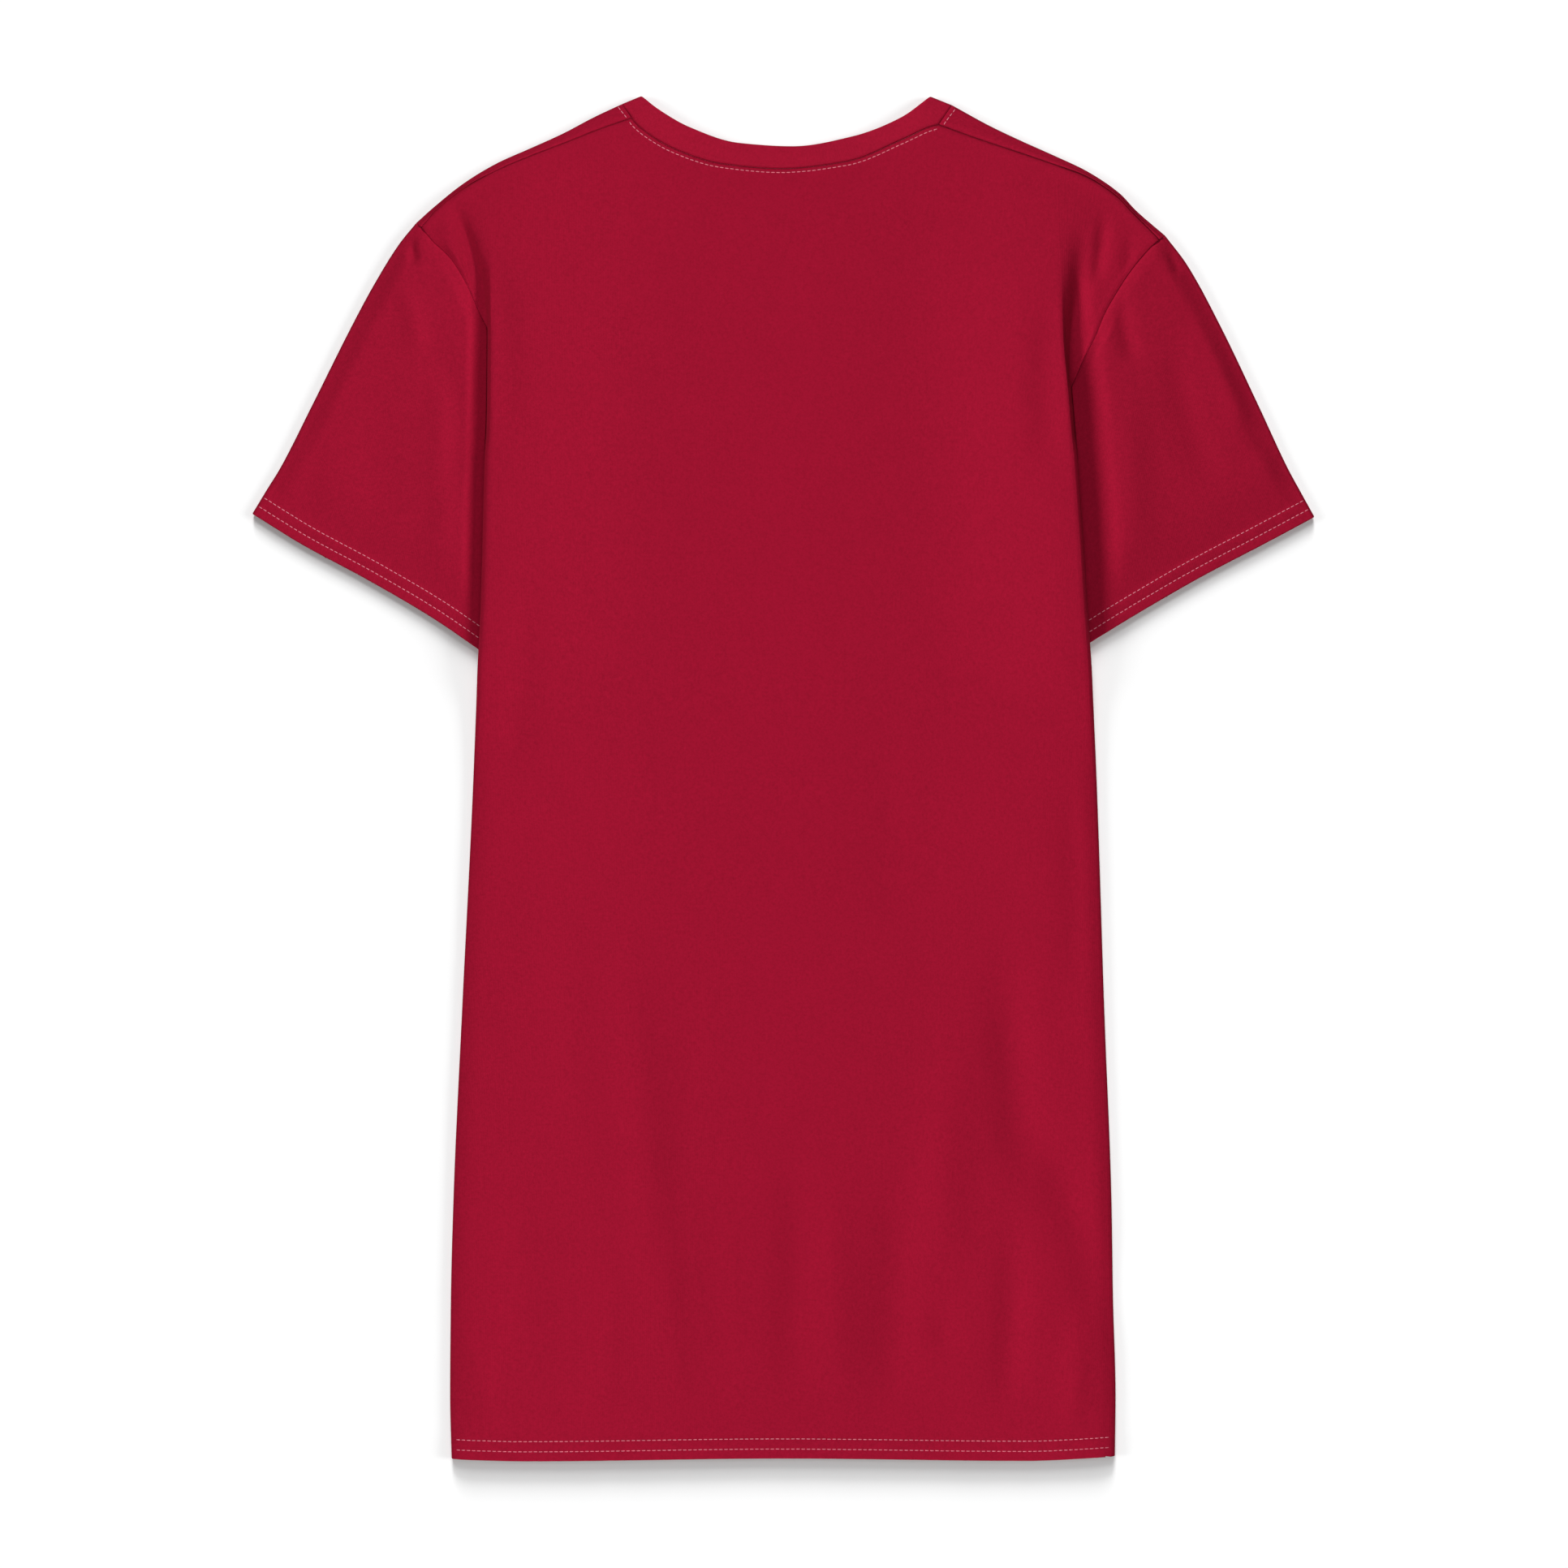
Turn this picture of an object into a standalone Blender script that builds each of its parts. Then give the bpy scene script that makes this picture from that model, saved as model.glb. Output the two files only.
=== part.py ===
"""A t-shirt dress in cotton jersey, laid flat on its front with its back up.

The neck points to +Y and the underside rests on z = 0. Left and right are the wearer's, so the left
sleeve is at -X. Five sewn pieces are built: back, front, two sleeves and the neck rib. Each is an
open skin that follows the garment's outside, given its wall by a Solidify modifier.
"""

import bpy
import numpy as np

MM = 0.001                 # every size below is in millimetres

# Cloth and seams
WALL = 1.2                 # jersey wall
RIB_WALL = 1.7             # the rib is folded double
RIB_WIDTH = 14.0
SEAM_GAP = 0.3             # between the edges of two pieces
FOLD_REACH = 2.2           # half-width, seen from above, of a rolled shoulder or sleeve fold
SIDE_REACH = 3.0           # and of the body's side folds, which are higher
SLEEVE_EDGE = 3.2          # height of a sleeve at its underarm fold
SLEEVE_STACK = SLEEVE_EDGE + SEAM_GAP

# Heights over the surface
BACK_LEVEL = 3.8           # the back where it lies on the front
NECK_LEVEL = 3.0           # the back where the front is cut away for the neck
SHOULDER_TOP = 4.8         # crest of the shoulder fold
SLEEVE_LEVEL = 5.2         # top of a sleeve
VALLEY_LEVEL = 3.0         # bottom of the groove between body and sleeve
COVERED_EDGE = 2.2         # the back's edge where its side fold covers the armhole seam
ARMHOLE_GROOVE = 2.2       # depth of the groove that runs up into the back
SLEEVE_HEM_DROP = 0.8      # a sleeve's hem below its level
RIB_DROP = 0.6             # the rib's free edge below its seam, across the back

# Widths, in plan, over which one height turns into another
CREST_RUN = 30.0           # from a side fold's crest to the level of the back
STACK_RUN = 18.0           # from the cloth over a sleeve's underarm to the cloth beside it
STACK_PAST = 20.0          # how far inside the side seam that lifted cloth reaches
SHOULDER_RUN = 24.0        # from a shoulder seam to the level of the back
VALLEY_RUN = 16.0          # from an armhole up to a sleeve's level
OUTER_RUN = 10.0           # from a sleeve's outer fold to its level
GROOVE_AWAY = 7.0          # from the crest to the bottom of the groove beside it
GROOVE_WIDTH = 5.0
CREST_HOLD = 3.0           # beside the crest, the cloth keeps the crest's height

# Places along the length
HEM_Y = -436.5
SLEEVE_HEM_Y = 77.0        # where the sleeve hems pass under the body
UNDERARM_Y = 192.0
TUCK_END_Y = UNDERARM_Y + 12       # up to here the side fold is tucked under to the side seam
TUCK_OUT_Y = UNDERARM_Y + 30       # and from here it only turns down over the armhole
STACK_START_Y = SLEEVE_HEM_Y - 30
NECK_LEVEL_Y = 350.0               # above here the back dips over the front neckline


def table(columns, *rows):
    """One table's columns, by name."""
    return dict(zip(columns.split(), np.array(rows, float).T))


# The body's side folds, hem to shoulder seam: their crest, and how far the side seam lies under them
BODY_SIDE = table(
    "y left right crest tuck",
    (HEM_Y, -212.8, 212.6, 4.6, 9.0),
    (-396.0, -213.8, 213.1, 5.4, 9.0),
    (-333.0, -213.3, 211.5, 5.8, 9.5),
    (-271.0, -211.7, 210.5, 6.0, 10.0),
    (-146.0, -206.0, 205.8, 6.0, 10.0),
    (-21.0, -199.8, 201.7, 6.0, 10.0),
    (41.0, -197.2, 199.1, 6.4, 10.0),
    (70.0, -195.9, 197.5, 8.4, 10.0),
    (110.0, -193.8, 194.6, 9.0, 9.0),
    (150.0, -192.6, 192.2, 9.0, 7.6),
    (UNDERARM_Y, -191.6, 189.2, 9.0, 6.0),
    (240.0, -190.2, 185.5, 8.4, 6.0),
    (285.0, -189.9, 181.4, 7.4, 6.0),
    (316.0, -189.9, 180.3, 6.6, 6.0),
    (350.0, -190.6, 178.8, 5.8, 6.0),
    (392.5, -192.0, 177.2, 5.0, 6.0),
)

HEM = table(
    "x y",
    (-212.8, HEM_Y), (-165.0, -437.7), (0.0, -435.9), (155.0, -437.4), (212.6, -434.8),
)

# The shoulder folds from neck to armhole, and the shoulder seams that lie on the back side of them
SHOULDER_LEFT = table(
    "fold_x fold_y seam_x seam_y",
    (-103.6, 432.5, -97.3, 423.2),
    (-121.3, 424.2, -117.1, 416.4),
    (-142.1, 413.3, -138.9, 407.8),
    (-162.9, 403.9, -160.3, 399.6),
    (-183.7, 394.6, -181.1, 390.9),
    (-204.5, 382.1, -202.8, 379.6),
    (-225.3, 365.5, -223.4, 363.4),
    (-235.7, 356.1, -232.0, 353.0),
)
SHOULDER_RIGHT = table(
    "fold_x fold_y seam_x seam_y",
    (108.2, 431.8, 99.7, 419.0),
    (132.5, 418.5, 127.8, 408.9),
    (153.3, 408.6, 149.9, 401.6),
    (174.1, 399.3, 171.7, 394.2),
    (194.9, 389.4, 193.3, 386.4),
    (215.7, 375.3, 214.0, 373.2),
    (226.1, 364.4, 224.2, 362.5),
    (245.0, 348.0, 241.2, 345.2),
)

# The back armhole seams down to where the body's side fold covers them, and their height
ARMHOLE_LEFT = table(
    "x y height",
    (-232.0, 353.0, 4.8),
    (-225.3, 344.7, 4.7),
    (-213.8, 333.7, 4.5),
    (-207.1, 323.9, 4.2),
    (-201.3, 312.9, 3.8),
    (-196.1, 301.0, 3.4),
    (-190.1, 289.0, VALLEY_LEVEL),
)
ARMHOLE_RIGHT = table(
    "x y height",
    (241.2, 345.2, 4.8),
    (235.5, 340.0, 4.7),
    (223.5, 326.0, 4.5),
    (214.1, 311.9, 4.3),
    (205.8, 297.3, 4.0),
    (200.1, 283.3, 3.7),
    (193.3, 270.3, 3.4),
    (184.8, 250.5, VALLEY_LEVEL),
)

# The front armhole seams, underneath, from the shoulder fold to the underarm
FRONT_ARMHOLE = table(
    "left_x right_x y",
    (-222.0, 231.0, 338.0),
    (-204.0, 209.0, 312.0),
    (-190.0, 189.0, 275.0),
    (-184.5, 181.0, 232.0),
)

# The sleeves' outer folds, from shoulder to hem
SLEEVE_OUT_LEFT = table(
    "x y",
    (-235.7, 356.1), (-246.6, 342.6), (-262.7, 316.6), (-276.7, 290.6), (-302.7, 238.6),
    (-322.5, 199.6), (-331.5, 185.0), (-340.8, 169.6),
)
SLEEVE_OUT_RIGHT = table(
    "x y",
    (245.0, 348.0), (258.9, 329.6), (280.2, 290.6), (305.1, 238.6), (323.3, 199.6),
    (332.5, 182.6), (340.8, 167.6),
)

# The sleeve hems, from the outer corner to the underarm fold
SLEEVE_HEM_LEFT = table(
    "x y",
    (-340.8, 169.6), (-308.5, 149.7), (-266.9, 127.3), (-225.3, 102.9), (-185.8, SLEEVE_HEM_Y),
)
SLEEVE_HEM_RIGHT = table(
    "x y",
    (340.8, 167.6), (309.3, 150.7), (267.7, 128.9), (226.1, 104.9), (187.4, SLEEVE_HEM_Y + 5),
)

# The neck: the seam and the free edge of the rib across the back
NECK_SEAM = table(
    "x y",
    (-97.3, 423.2), (-94.7, 419.5), (-69.8, 403.4), (-39.6, 394.1), (-1.7, 390.9),
    (41.0, 395.6), (76.9, 409.7), (94.0, 417.4), (99.7, 419.0),
)
NECK_EDGE = table(
    "x y",
    (-91.1, 437.7), (-80.7, 429.4), (-59.9, 417.5), (-28.7, 407.6), (6.0, 405.4),
    (44.1, 411.7), (75.3, 423.7), (94.3, 437.4),
)
NECK_BOTTOM_Y = 341.0      # lowest point of the front neck seam
FRONT_NECK_FULLNESS = 2.3  # 2 is an ellipse, more is squarer
NECK_HOLLOW = dict(x=2.0, y=432.0, half_width=86.0, depth=78.0)  # where the back has no front under it

# Folds in the cloth, as soft ridges (+) and troughs (-) along lines that may bow sideways
FOLD_COLUMNS = "x0 y0 x1 y1 bow width depth"
BODY_FOLDS = table(
    FOLD_COLUMNS,
    (-96.3, -42.0, -62.5, -410.0, -3.0, 12.0, -0.75),
    (2.5, -235.0, -2.7, -412.0, 2.0, 11.0, -0.75),
    (62.0, -270.0, 62.3, -414.0, -2.0, 15.0, -0.7),
    (137.7, -80.0, 152.0, -240.0, -3.0, 11.0, -0.8),
    (148.0, -210.0, 205.3, -360.0, 5.0, 11.0, -0.8),
    (141.0, -265.0, 135.1, -414.0, 2.0, 10.0, -0.6),
    (-166.0, -240.0, -164.0, -406.0, 4.0, 17.0, -0.6),
    (-150.0, -45.0, 150.0, -38.0, 6.0, 42.0, -0.5),
    (-58.0, -115.0, -56.0, -290.0, 3.0, 13.0, 0.7),
    (-35.0, -230.0, -31.0, -406.0, -2.0, 12.0, 0.6),
    (24.0, -270.0, 30.0, -400.0, 2.0, 13.0, 0.7),
    (103.0, -150.0, 98.0, -330.0, -3.0, 16.0, 0.6),
    (-184.0, 363.0, -171.0, 205.0, 4.0, 11.0, -0.7),
    (-161.0, 150.0, -171.0, -15.0, 3.0, 13.0, -0.6),
    (166.0, 330.0, 165.0, 185.0, -3.0, 12.0, -0.7),
)
SLEEVE_FOLDS_LEFT = table(
    FOLD_COLUMNS,
    (-235.0, 349.0, -231.0, 328.0, 0.0, 3.5, -1.0),
    (-234.0, 306.0, -222.0, 155.0, 22.0, 10.0, -1.0),
    (-243.0, 324.0, -228.0, 268.0, 3.0, 7.0, 0.7),
    (-213.0, 292.0, -214.0, 130.0, 1.0, 9.0, 0.9),
    (-290.0, 235.0, -300.0, 160.0, -3.0, 12.0, -0.5),
)
SLEEVE_FOLDS_RIGHT = table(
    FOLD_COLUMNS,
    (243.0, 343.0, 239.0, 324.0, 0.0, 3.5, -1.0),
    (223.0, 324.0, 233.0, 268.0, -3.0, 8.0, -1.0),
    (241.0, 298.0, 273.0, 180.0, -4.0, 10.0, -0.7),
    (286.0, 232.0, 308.0, 208.0, 1.0, 6.0, -0.6),
    (214.0, 262.0, 218.0, 132.0, 2.0, 11.0, 0.8),
)
ARMHOLE_FOLDS = table(
    FOLD_COLUMNS,
    (202.7, 360.0, 197.5, 325.0, 1.0, 5.0, -0.8),
    (219.9, 350.0, 215.7, 320.0, 0.0, 5.0, -0.6),
)

SIDES = {
    "left": dict(inward=1, shoulder=SHOULDER_LEFT, armhole=ARMHOLE_LEFT, sleeve_out=SLEEVE_OUT_LEFT,
                 sleeve_hem=SLEEVE_HEM_LEFT, sleeve_folds=SLEEVE_FOLDS_LEFT),
    "right": dict(inward=-1, shoulder=SHOULDER_RIGHT, armhole=ARMHOLE_RIGHT, sleeve_out=SLEEVE_OUT_RIGHT,
                  sleeve_hem=SLEEVE_HEM_RIGHT, sleeve_folds=SLEEVE_FOLDS_RIGHT),
}

# How finely the skins are cut
ROLL_STEPS = 4
STRIP_COLUMNS = 6
SHOULDER_COLUMNS = 8
NECK_COLUMNS = 16
COVERED_ROWS = 3
ARMHOLE_ROWS = 8
FRONT_ARMHOLE_ROWS = 6
UNDERARM_ROWS = 5
RIB_ROWS = 3
WELD_DISTANCE = 0.01
SEAM_EASE = 0.001          # share of a shoulder that half a seam gap takes
FRONT_SHARES = np.array([
    0.0, 0.02, 0.035, 0.05, 0.075, 0.15, 0.25, 0.37, 0.5, 0.63, 0.75, 0.85, 0.925, 0.95, 0.965, 0.98, 1.0,
])
SLEEVE_SHARES = np.array([0.0, 0.07, 0.16, 0.27, 0.4, 0.53, 0.66, 0.77, 0.85, 0.905, 0.945, 0.975, 1.0])
SLEEVE_BEND_SHARE = 0.56   # share of the sleeve's outer fold that lies opposite its armhole
BODY_ROWS = np.array([
    HEM_Y, -395.0, -350.0, -305.0, -260.0, -210.0, -160.0, -110.0, -60.0, -10.0, 25.0, 47.0,
    56.0, 65.0, 76.0, 105.0, 135.0, 165.0, UNDERARM_Y, TUCK_END_Y, 213.0, TUCK_OUT_Y,
])

COLLECTION = "t_shirt_dress"
CRIMSON = (0.295, 0.0055, 0.0236, 1.0)
RIB_CRIMSON = (0.31, 0.0065, 0.026, 1.0)
CLOTH_ROUGHNESS = 0.85


# ---- Curves and surfaces ----

def smooth(at, knots, values):
    """A curve through a table's values that doesn't overshoot them (monotone cubic)."""
    step = np.diff(knots)
    rise = np.diff(values) / step
    slope = np.concatenate([rise[:1], np.zeros(len(rise) - 1), rise[-1:]])
    before, after = rise[:-1], rise[1:]
    same_way = before * after > 0
    slope[1:-1][same_way] = (2 * before * after)[same_way] / (before + after)[same_way]
    at = np.clip(at, knots[0], knots[-1])
    span = np.clip(np.searchsorted(knots, at, side="right") - 1, 0, len(step) - 1)
    t = (at - knots[span]) / step[span]
    return (
        values[span] * (1 + 2 * t) * (1 - t) ** 2
        + values[span + 1] * t ** 2 * (3 - 2 * t)
        + step[span] * (slope[span] * t * (1 - t) ** 2 - slope[span + 1] * t ** 2 * (1 - t))
    )


def path(points, shares):
    """The smooth curve through points, at shares of its length."""
    run = np.concatenate([[0], np.cumsum(np.linalg.norm(np.diff(points, axis=0), axis=1))])
    at = np.asarray(shares) * run[-1]
    return np.stack([smooth(at, run, column) for column in points.T], axis=-1)


def unit(vectors):
    return vectors / np.linalg.norm(vectors, axis=-1, keepdims=True)


def plan(rows, x="x", y="y"):
    return np.stack([rows[x], rows[y]], axis=-1)


def aside(points, distance):
    """A plan curve moved sideways, to the left of its direction."""
    along = unit(np.gradient(points, axis=0))
    return points + distance * np.stack([-along[:, 1], along[:, 0]], axis=-1)


def ramp(t):
    t = np.clip(t, 0, 1)
    return t * t * (3 - 2 * t)


def patch(bottom, top, left, right, u, v, hold=1):
    """Plan grid between four edge curves, in rows from bottom to top. A higher hold keeps more rows
    like the bottom edge."""
    u, v = u[None, :, None], v[:, None, None] ** hold
    across = left[:, None] * (1 - u) + right[:, None] * u
    lower = bottom - (bottom[0] * (1 - u) + bottom[-1] * u)
    upper = top - (top[0] * (1 - u) + top[-1] * u)
    return across + lower * (1 - v) + upper * v


def relief(x, y, folds):
    """Height that the folds add at each plan point."""
    total = np.zeros(np.shape(x))
    for x0, y0, x1, y1, bow, width, depth in zip(*(folds[name] for name in FOLD_COLUMNS.split())):
        run = np.hypot(x1 - x0, y1 - y0)
        ux, uy = (x1 - x0) / run, (y1 - y0) / run
        t = ((x - x0) * ux + (y - y0) * uy) / run
        inside = np.clip(t, 0, 1)
        off = (x - x0) * -uy + (y - y0) * ux - bow * 4 * inside * (1 - inside)
        total += depth * np.exp(-(off / width) ** 2) * ramp(t / 0.3) * ramp((1 - t) / 0.3)
    return total


def with_height(points, height):
    return np.concatenate([points, np.broadcast_to(height, points.shape[:-1])[..., None]], axis=-1)


def roll(edge, inward, top, low, turns, reach=FOLD_REACH):
    """Points round a fold: turn 0 is its top tangent, 0.5 its edge and 1 its lower tangent."""
    angle = np.pi * turns[None, :]
    out = edge[:, None] + inward[:, None] * reach * (1 - np.sin(angle))[..., None]
    height = (top + low)[:, None] / 2 + (top - low)[:, None] / 2 * np.cos(angle)
    return with_height(out, height)


# ---- The body's outline and levels ----

def side_edge(y, side):
    return smooth(y, BODY_SIDE["y"], BODY_SIDE[side])


def crest(y):
    return smooth(y, BODY_SIDE["y"], BODY_SIDE["crest"])


def tuck(y):
    return smooth(y, BODY_SIDE["y"], BODY_SIDE["tuck"])


def hem_y(x):
    return smooth(x, HEM["x"], HEM["y"])


def inside_sides(x, y):
    """Distance in from the nearer side fold."""
    return np.minimum(x - side_edge(y, "left"), side_edge(y, "right") - x)


def lift(x, y):
    """How far the sleeves under the body's sides raise it."""
    along = ramp((y - STACK_START_Y) / 24) * ramp((TUCK_OUT_Y - y) / (TUCK_OUT_Y - TUCK_END_Y))
    across = ramp((tuck(y) + STACK_PAST - inside_sides(x, y)) / STACK_RUN)
    return SLEEVE_STACK * along * across


def distance_to(x, y, line):
    """Distance from each plan point to a line of points."""
    best = np.full(np.shape(x), np.inf)
    for (x0, y0), (x1, y1) in zip(line[:-1], line[1:]):
        run = (x1 - x0) ** 2 + (y1 - y0) ** 2
        t = np.clip(((x - x0) * (x1 - x0) + (y - y0) * (y1 - y0)) / run, 0, 1)
        best = np.minimum(best, np.hypot(x - x0 - t * (x1 - x0), y - y0 - t * (y1 - y0)))
    return best


def back_height(x, y):
    """The outside of the back, over the surface."""
    raised = lift(x, y)
    height = BACK_LEVEL + raised + relief(x, y, BODY_FOLDS)
    from_neck = np.hypot((x - NECK_HOLLOW["x"]) / NECK_HOLLOW["half_width"],
                         (y - NECK_HOLLOW["y"]) / NECK_HOLLOW["depth"])
    over_front_neck = ramp(1.4 - from_neck) * ramp((y - NECK_LEVEL_Y) / 40)
    height += (NECK_LEVEL - BACK_LEVEL) * over_front_neck
    near_side = 1 - ramp((inside_sides(x, y) - SIDE_REACH) / CREST_RUN)
    height += (crest(y) - BACK_LEVEL - raised) * near_side
    for rows in (SHOULDER_LEFT, SHOULDER_RIGHT):
        near = 1 - ramp(distance_to(x, y, plan(rows, "seam_x", "seam_y")) / SHOULDER_RUN)
        height += (SHOULDER_TOP - height) * near
    return height


# ---- Seams ----

def shoulder(side, shares):
    """Fold and seam of a shoulder, from neck to armhole."""
    rows = SIDES[side]["shoulder"]
    folds = path(plan(rows, "fold_x", "fold_y"), shares)
    seams = path(plan(rows, "seam_x", "seam_y"), shares)
    return folds, seams


def shoulder_inward(side, shares):
    folds, seams = shoulder(side, shares)
    return unit(seams - folds)


def shoulder_floor(side, shares):
    """Where the shoulder fold's underside meets the surface."""
    return shoulder(side, shares)[0] + FOLD_REACH * shoulder_inward(side, shares)


def crest_share(side):
    """Share of the shoulder seam at which the side fold's crest line meets it."""
    shares = np.linspace(0, 1, 401)
    seams = shoulder(side, shares)[1]
    off = seams[:, 0] - side_edge(seams[:, 1], side) - SIDES[side]["inward"] * SIDE_REACH
    return shares[np.argmin(np.abs(off))]


def shoulder_shares(side):
    """Samples of the shoulder seam: neck to the side fold's crest line, and on to the armhole."""
    split = crest_share(side)
    return np.linspace(0, split, SHOULDER_COLUMNS + 1), np.linspace(split, 1, STRIP_COLUMNS + 1)


def back_neck(shares):
    return path(plan(NECK_SEAM), shares)


def front_neck(start, end, lowest):
    """Front neckline on the surface between two points, as half of a squared ellipse."""
    angle = np.linspace(0, np.pi, 61)
    power = 2 / FRONT_NECK_FULLNESS
    share = (1 - np.sign(np.cos(angle)) * np.abs(np.cos(angle)) ** power) / 2
    top = start[1] + (end[1] - start[1]) * share
    x = start[0] + (end[0] - start[0]) * share
    curve = np.stack([x, top - (top - lowest) * np.sin(angle) ** power], axis=-1)
    return path(curve, np.linspace(0, 1, NECK_COLUMNS + 1))


def back_armhole(side):
    """The back armhole seam's x, y and height, from the shoulder to where the side fold covers it."""
    rows = SIDES[side]["armhole"]
    points = np.stack([rows["x"], rows["y"], rows["height"]], axis=-1)
    return path(points, np.linspace(0, 1, ARMHOLE_ROWS + 1))


def covered_rows(side):
    """Where the side fold covers the armhole seam, upwards from the tuck."""
    return np.linspace(TUCK_OUT_Y, SIDES[side]["armhole"]["y"][-1], COVERED_ROWS + 1)


def front_armhole(side):
    """The front armhole seam on the surface, from the underarm up to the shoulder fold."""
    low_x = side_edge(UNDERARM_Y, side) + SIDES[side]["inward"] * tuck(UNDERARM_Y)
    high_x, high_y = shoulder_floor(side, np.array([1.0]))[0]
    knots = np.concatenate([[UNDERARM_Y], FRONT_ARMHOLE["y"][::-1], [high_y]])
    values = np.concatenate([[low_x], FRONT_ARMHOLE[side + "_x"][::-1], [high_x]])
    above = np.linspace(TUCK_OUT_Y, high_y, FRONT_ARMHOLE_ROWS + 1)[1:]
    y = np.concatenate([BODY_ROWS[BODY_ROWS >= UNDERARM_Y], above])
    return np.stack([smooth(y, knots, values), y], axis=-1)


# ---- Pieces ----

def face_down(outline):
    """A flat outline at the surface, in the order that faces it down."""
    x, y = outline.T
    area = np.sum(x * np.roll(y, -1) - y * np.roll(x, -1))
    return with_height(outline if area < 0 else outline[::-1], 0.0)


def cloth(name, patches, wall, colour, outline=None):
    """One sewn piece: its patches and flat part welded into a skin, with the wall inside it."""
    points, faces, start = [], [], 0
    for grid in patches:
        rows, columns = grid.shape[:2]
        points.append(grid.reshape(-1, 3) * MM)
        for r in range(rows - 1):
            for c in range(columns - 1):
                corner = start + r * columns + c
                faces.append((corner, corner + 1, corner + columns + 1, corner + columns))
        start += rows * columns
    if outline is not None:
        points.append(face_down(outline) * MM)
        faces.append(tuple(range(start, start + len(outline))))
    mesh = bpy.data.meshes.new(name)
    mesh.from_pydata(np.concatenate(points).tolist(), [], faces)
    mesh.shade_smooth()
    piece = bpy.data.objects.new(name, mesh)
    bpy.data.collections[COLLECTION].objects.link(piece)
    weld = piece.modifiers.new("weld", "WELD")
    weld.merge_threshold = WELD_DISTANCE * MM
    skin = piece.modifiers.new("wall", "SOLIDIFY")
    skin.thickness = wall * MM
    skin.offset = -1
    skin.use_quality_normals = True
    finish = bpy.data.materials.new(name)
    finish.use_nodes = True
    shader = finish.node_tree.nodes["Principled BSDF"]
    shader.inputs["Base Color"].default_value = colour
    shader.inputs["Roughness"].default_value = CLOTH_ROUGHNESS
    mesh.materials.append(finish)
    return piece


def crest_line(side):
    """The side fold's crest, hem to shoulder seam: points, and how many lie where the fold is closed."""
    top_y = shoulder(side, np.array([crest_share(side)]))[1][0, 1]
    closed = np.concatenate([BODY_ROWS, covered_rows(side)[1:]])
    closed[0] = hem_y(side_edge(HEM_Y, side))
    y = np.concatenate([closed, np.linspace(closed[-1], top_y, ARMHOLE_ROWS + 1)[1:]])
    x = side_edge(y, side) + SIDES[side]["inward"] * SIDE_REACH
    return np.stack([x, y], axis=-1), len(closed)


def side_strip(side, crest_points, closed, shoulder_edge):
    """The back from its crest line round the side fold to the seam: rows by columns, crest first."""
    sign = SIDES[side]["inward"]
    steps = np.linspace(0, 1, STRIP_COLUMNS + 1)
    tops = back_height(crest_points[:, 0], crest_points[:, 1])
    y = crest_points[:closed, 1]
    edge = np.stack([side_edge(y, side), y], axis=-1)
    inward = np.broadcast_to([sign, 0.0], edge.shape)
    low = lift(edge[:, 0], np.minimum(y, TUCK_END_Y))

    round_fold = roll(edge, inward, tops[:closed], low, np.linspace(0, 1, ROLL_STEPS + 1), SIDE_REACH)
    share = np.linspace(0, 1, STRIP_COLUMNS - ROLL_STEPS + 1)[None, 1:]
    inside = SIDE_REACH + (tuck(y)[:, None] - SEAM_GAP / 2 - SIDE_REACH) * share
    under = np.stack(np.broadcast_arrays(edge[:, :1] + sign * inside, y[:, None], low[:, None]), axis=-1)
    tucked = np.concatenate([round_fold, under], axis=1)
    covered = 2 * COVERED_EDGE - tops[:closed]
    turned_down = roll(edge, inward, tops[:closed], covered, steps / 2, SIDE_REACH)
    opening = ramp((y - TUCK_END_Y) / (TUCK_OUT_Y - TUCK_END_Y))[:, None, None]
    strip = list(tucked * (1 - opening) + turned_down * opening)

    up = np.linspace(0, 1, ARMHOLE_ROWS + 1)
    seam = back_armhole(side)[::-1]
    seam[:, :2] = aside(seam[:, :2], -sign * SEAM_GAP / 2)
    seam[-1, :2] = shoulder_edge[-1]
    straight = shoulder_edge[:1] + (shoulder_edge[-1:] - shoulder_edge[:1]) * steps[:, None]
    for share, crest_point, top, edge_point in zip(up[1:], crest_points[closed:], tops[closed:], seam[1:]):
        row = crest_point + (edge_point[:2] - crest_point) * steps[:, None]
        row = row + (shoulder_edge - straight) * share ** 3
        away = np.linalg.norm(row - row[0], axis=1)
        height = top + (edge_point[2] - top) * ramp(steps)
        depth = ARMHOLE_GROOVE * (1 - share) ** 1.2 * ramp((away[-1] - 6) / 10)
        groove = np.exp(-((away - GROOVE_AWAY) / GROOVE_WIDTH) ** 2) * ramp(away / CREST_HOLD)
        height = height - depth * groove
        height = height + relief(row[:, 0], row[:, 1], ARMHOLE_FOLDS) * np.sin(np.pi * steps)
        strip.append(with_height(row, height))
    return np.array(strip)


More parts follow.
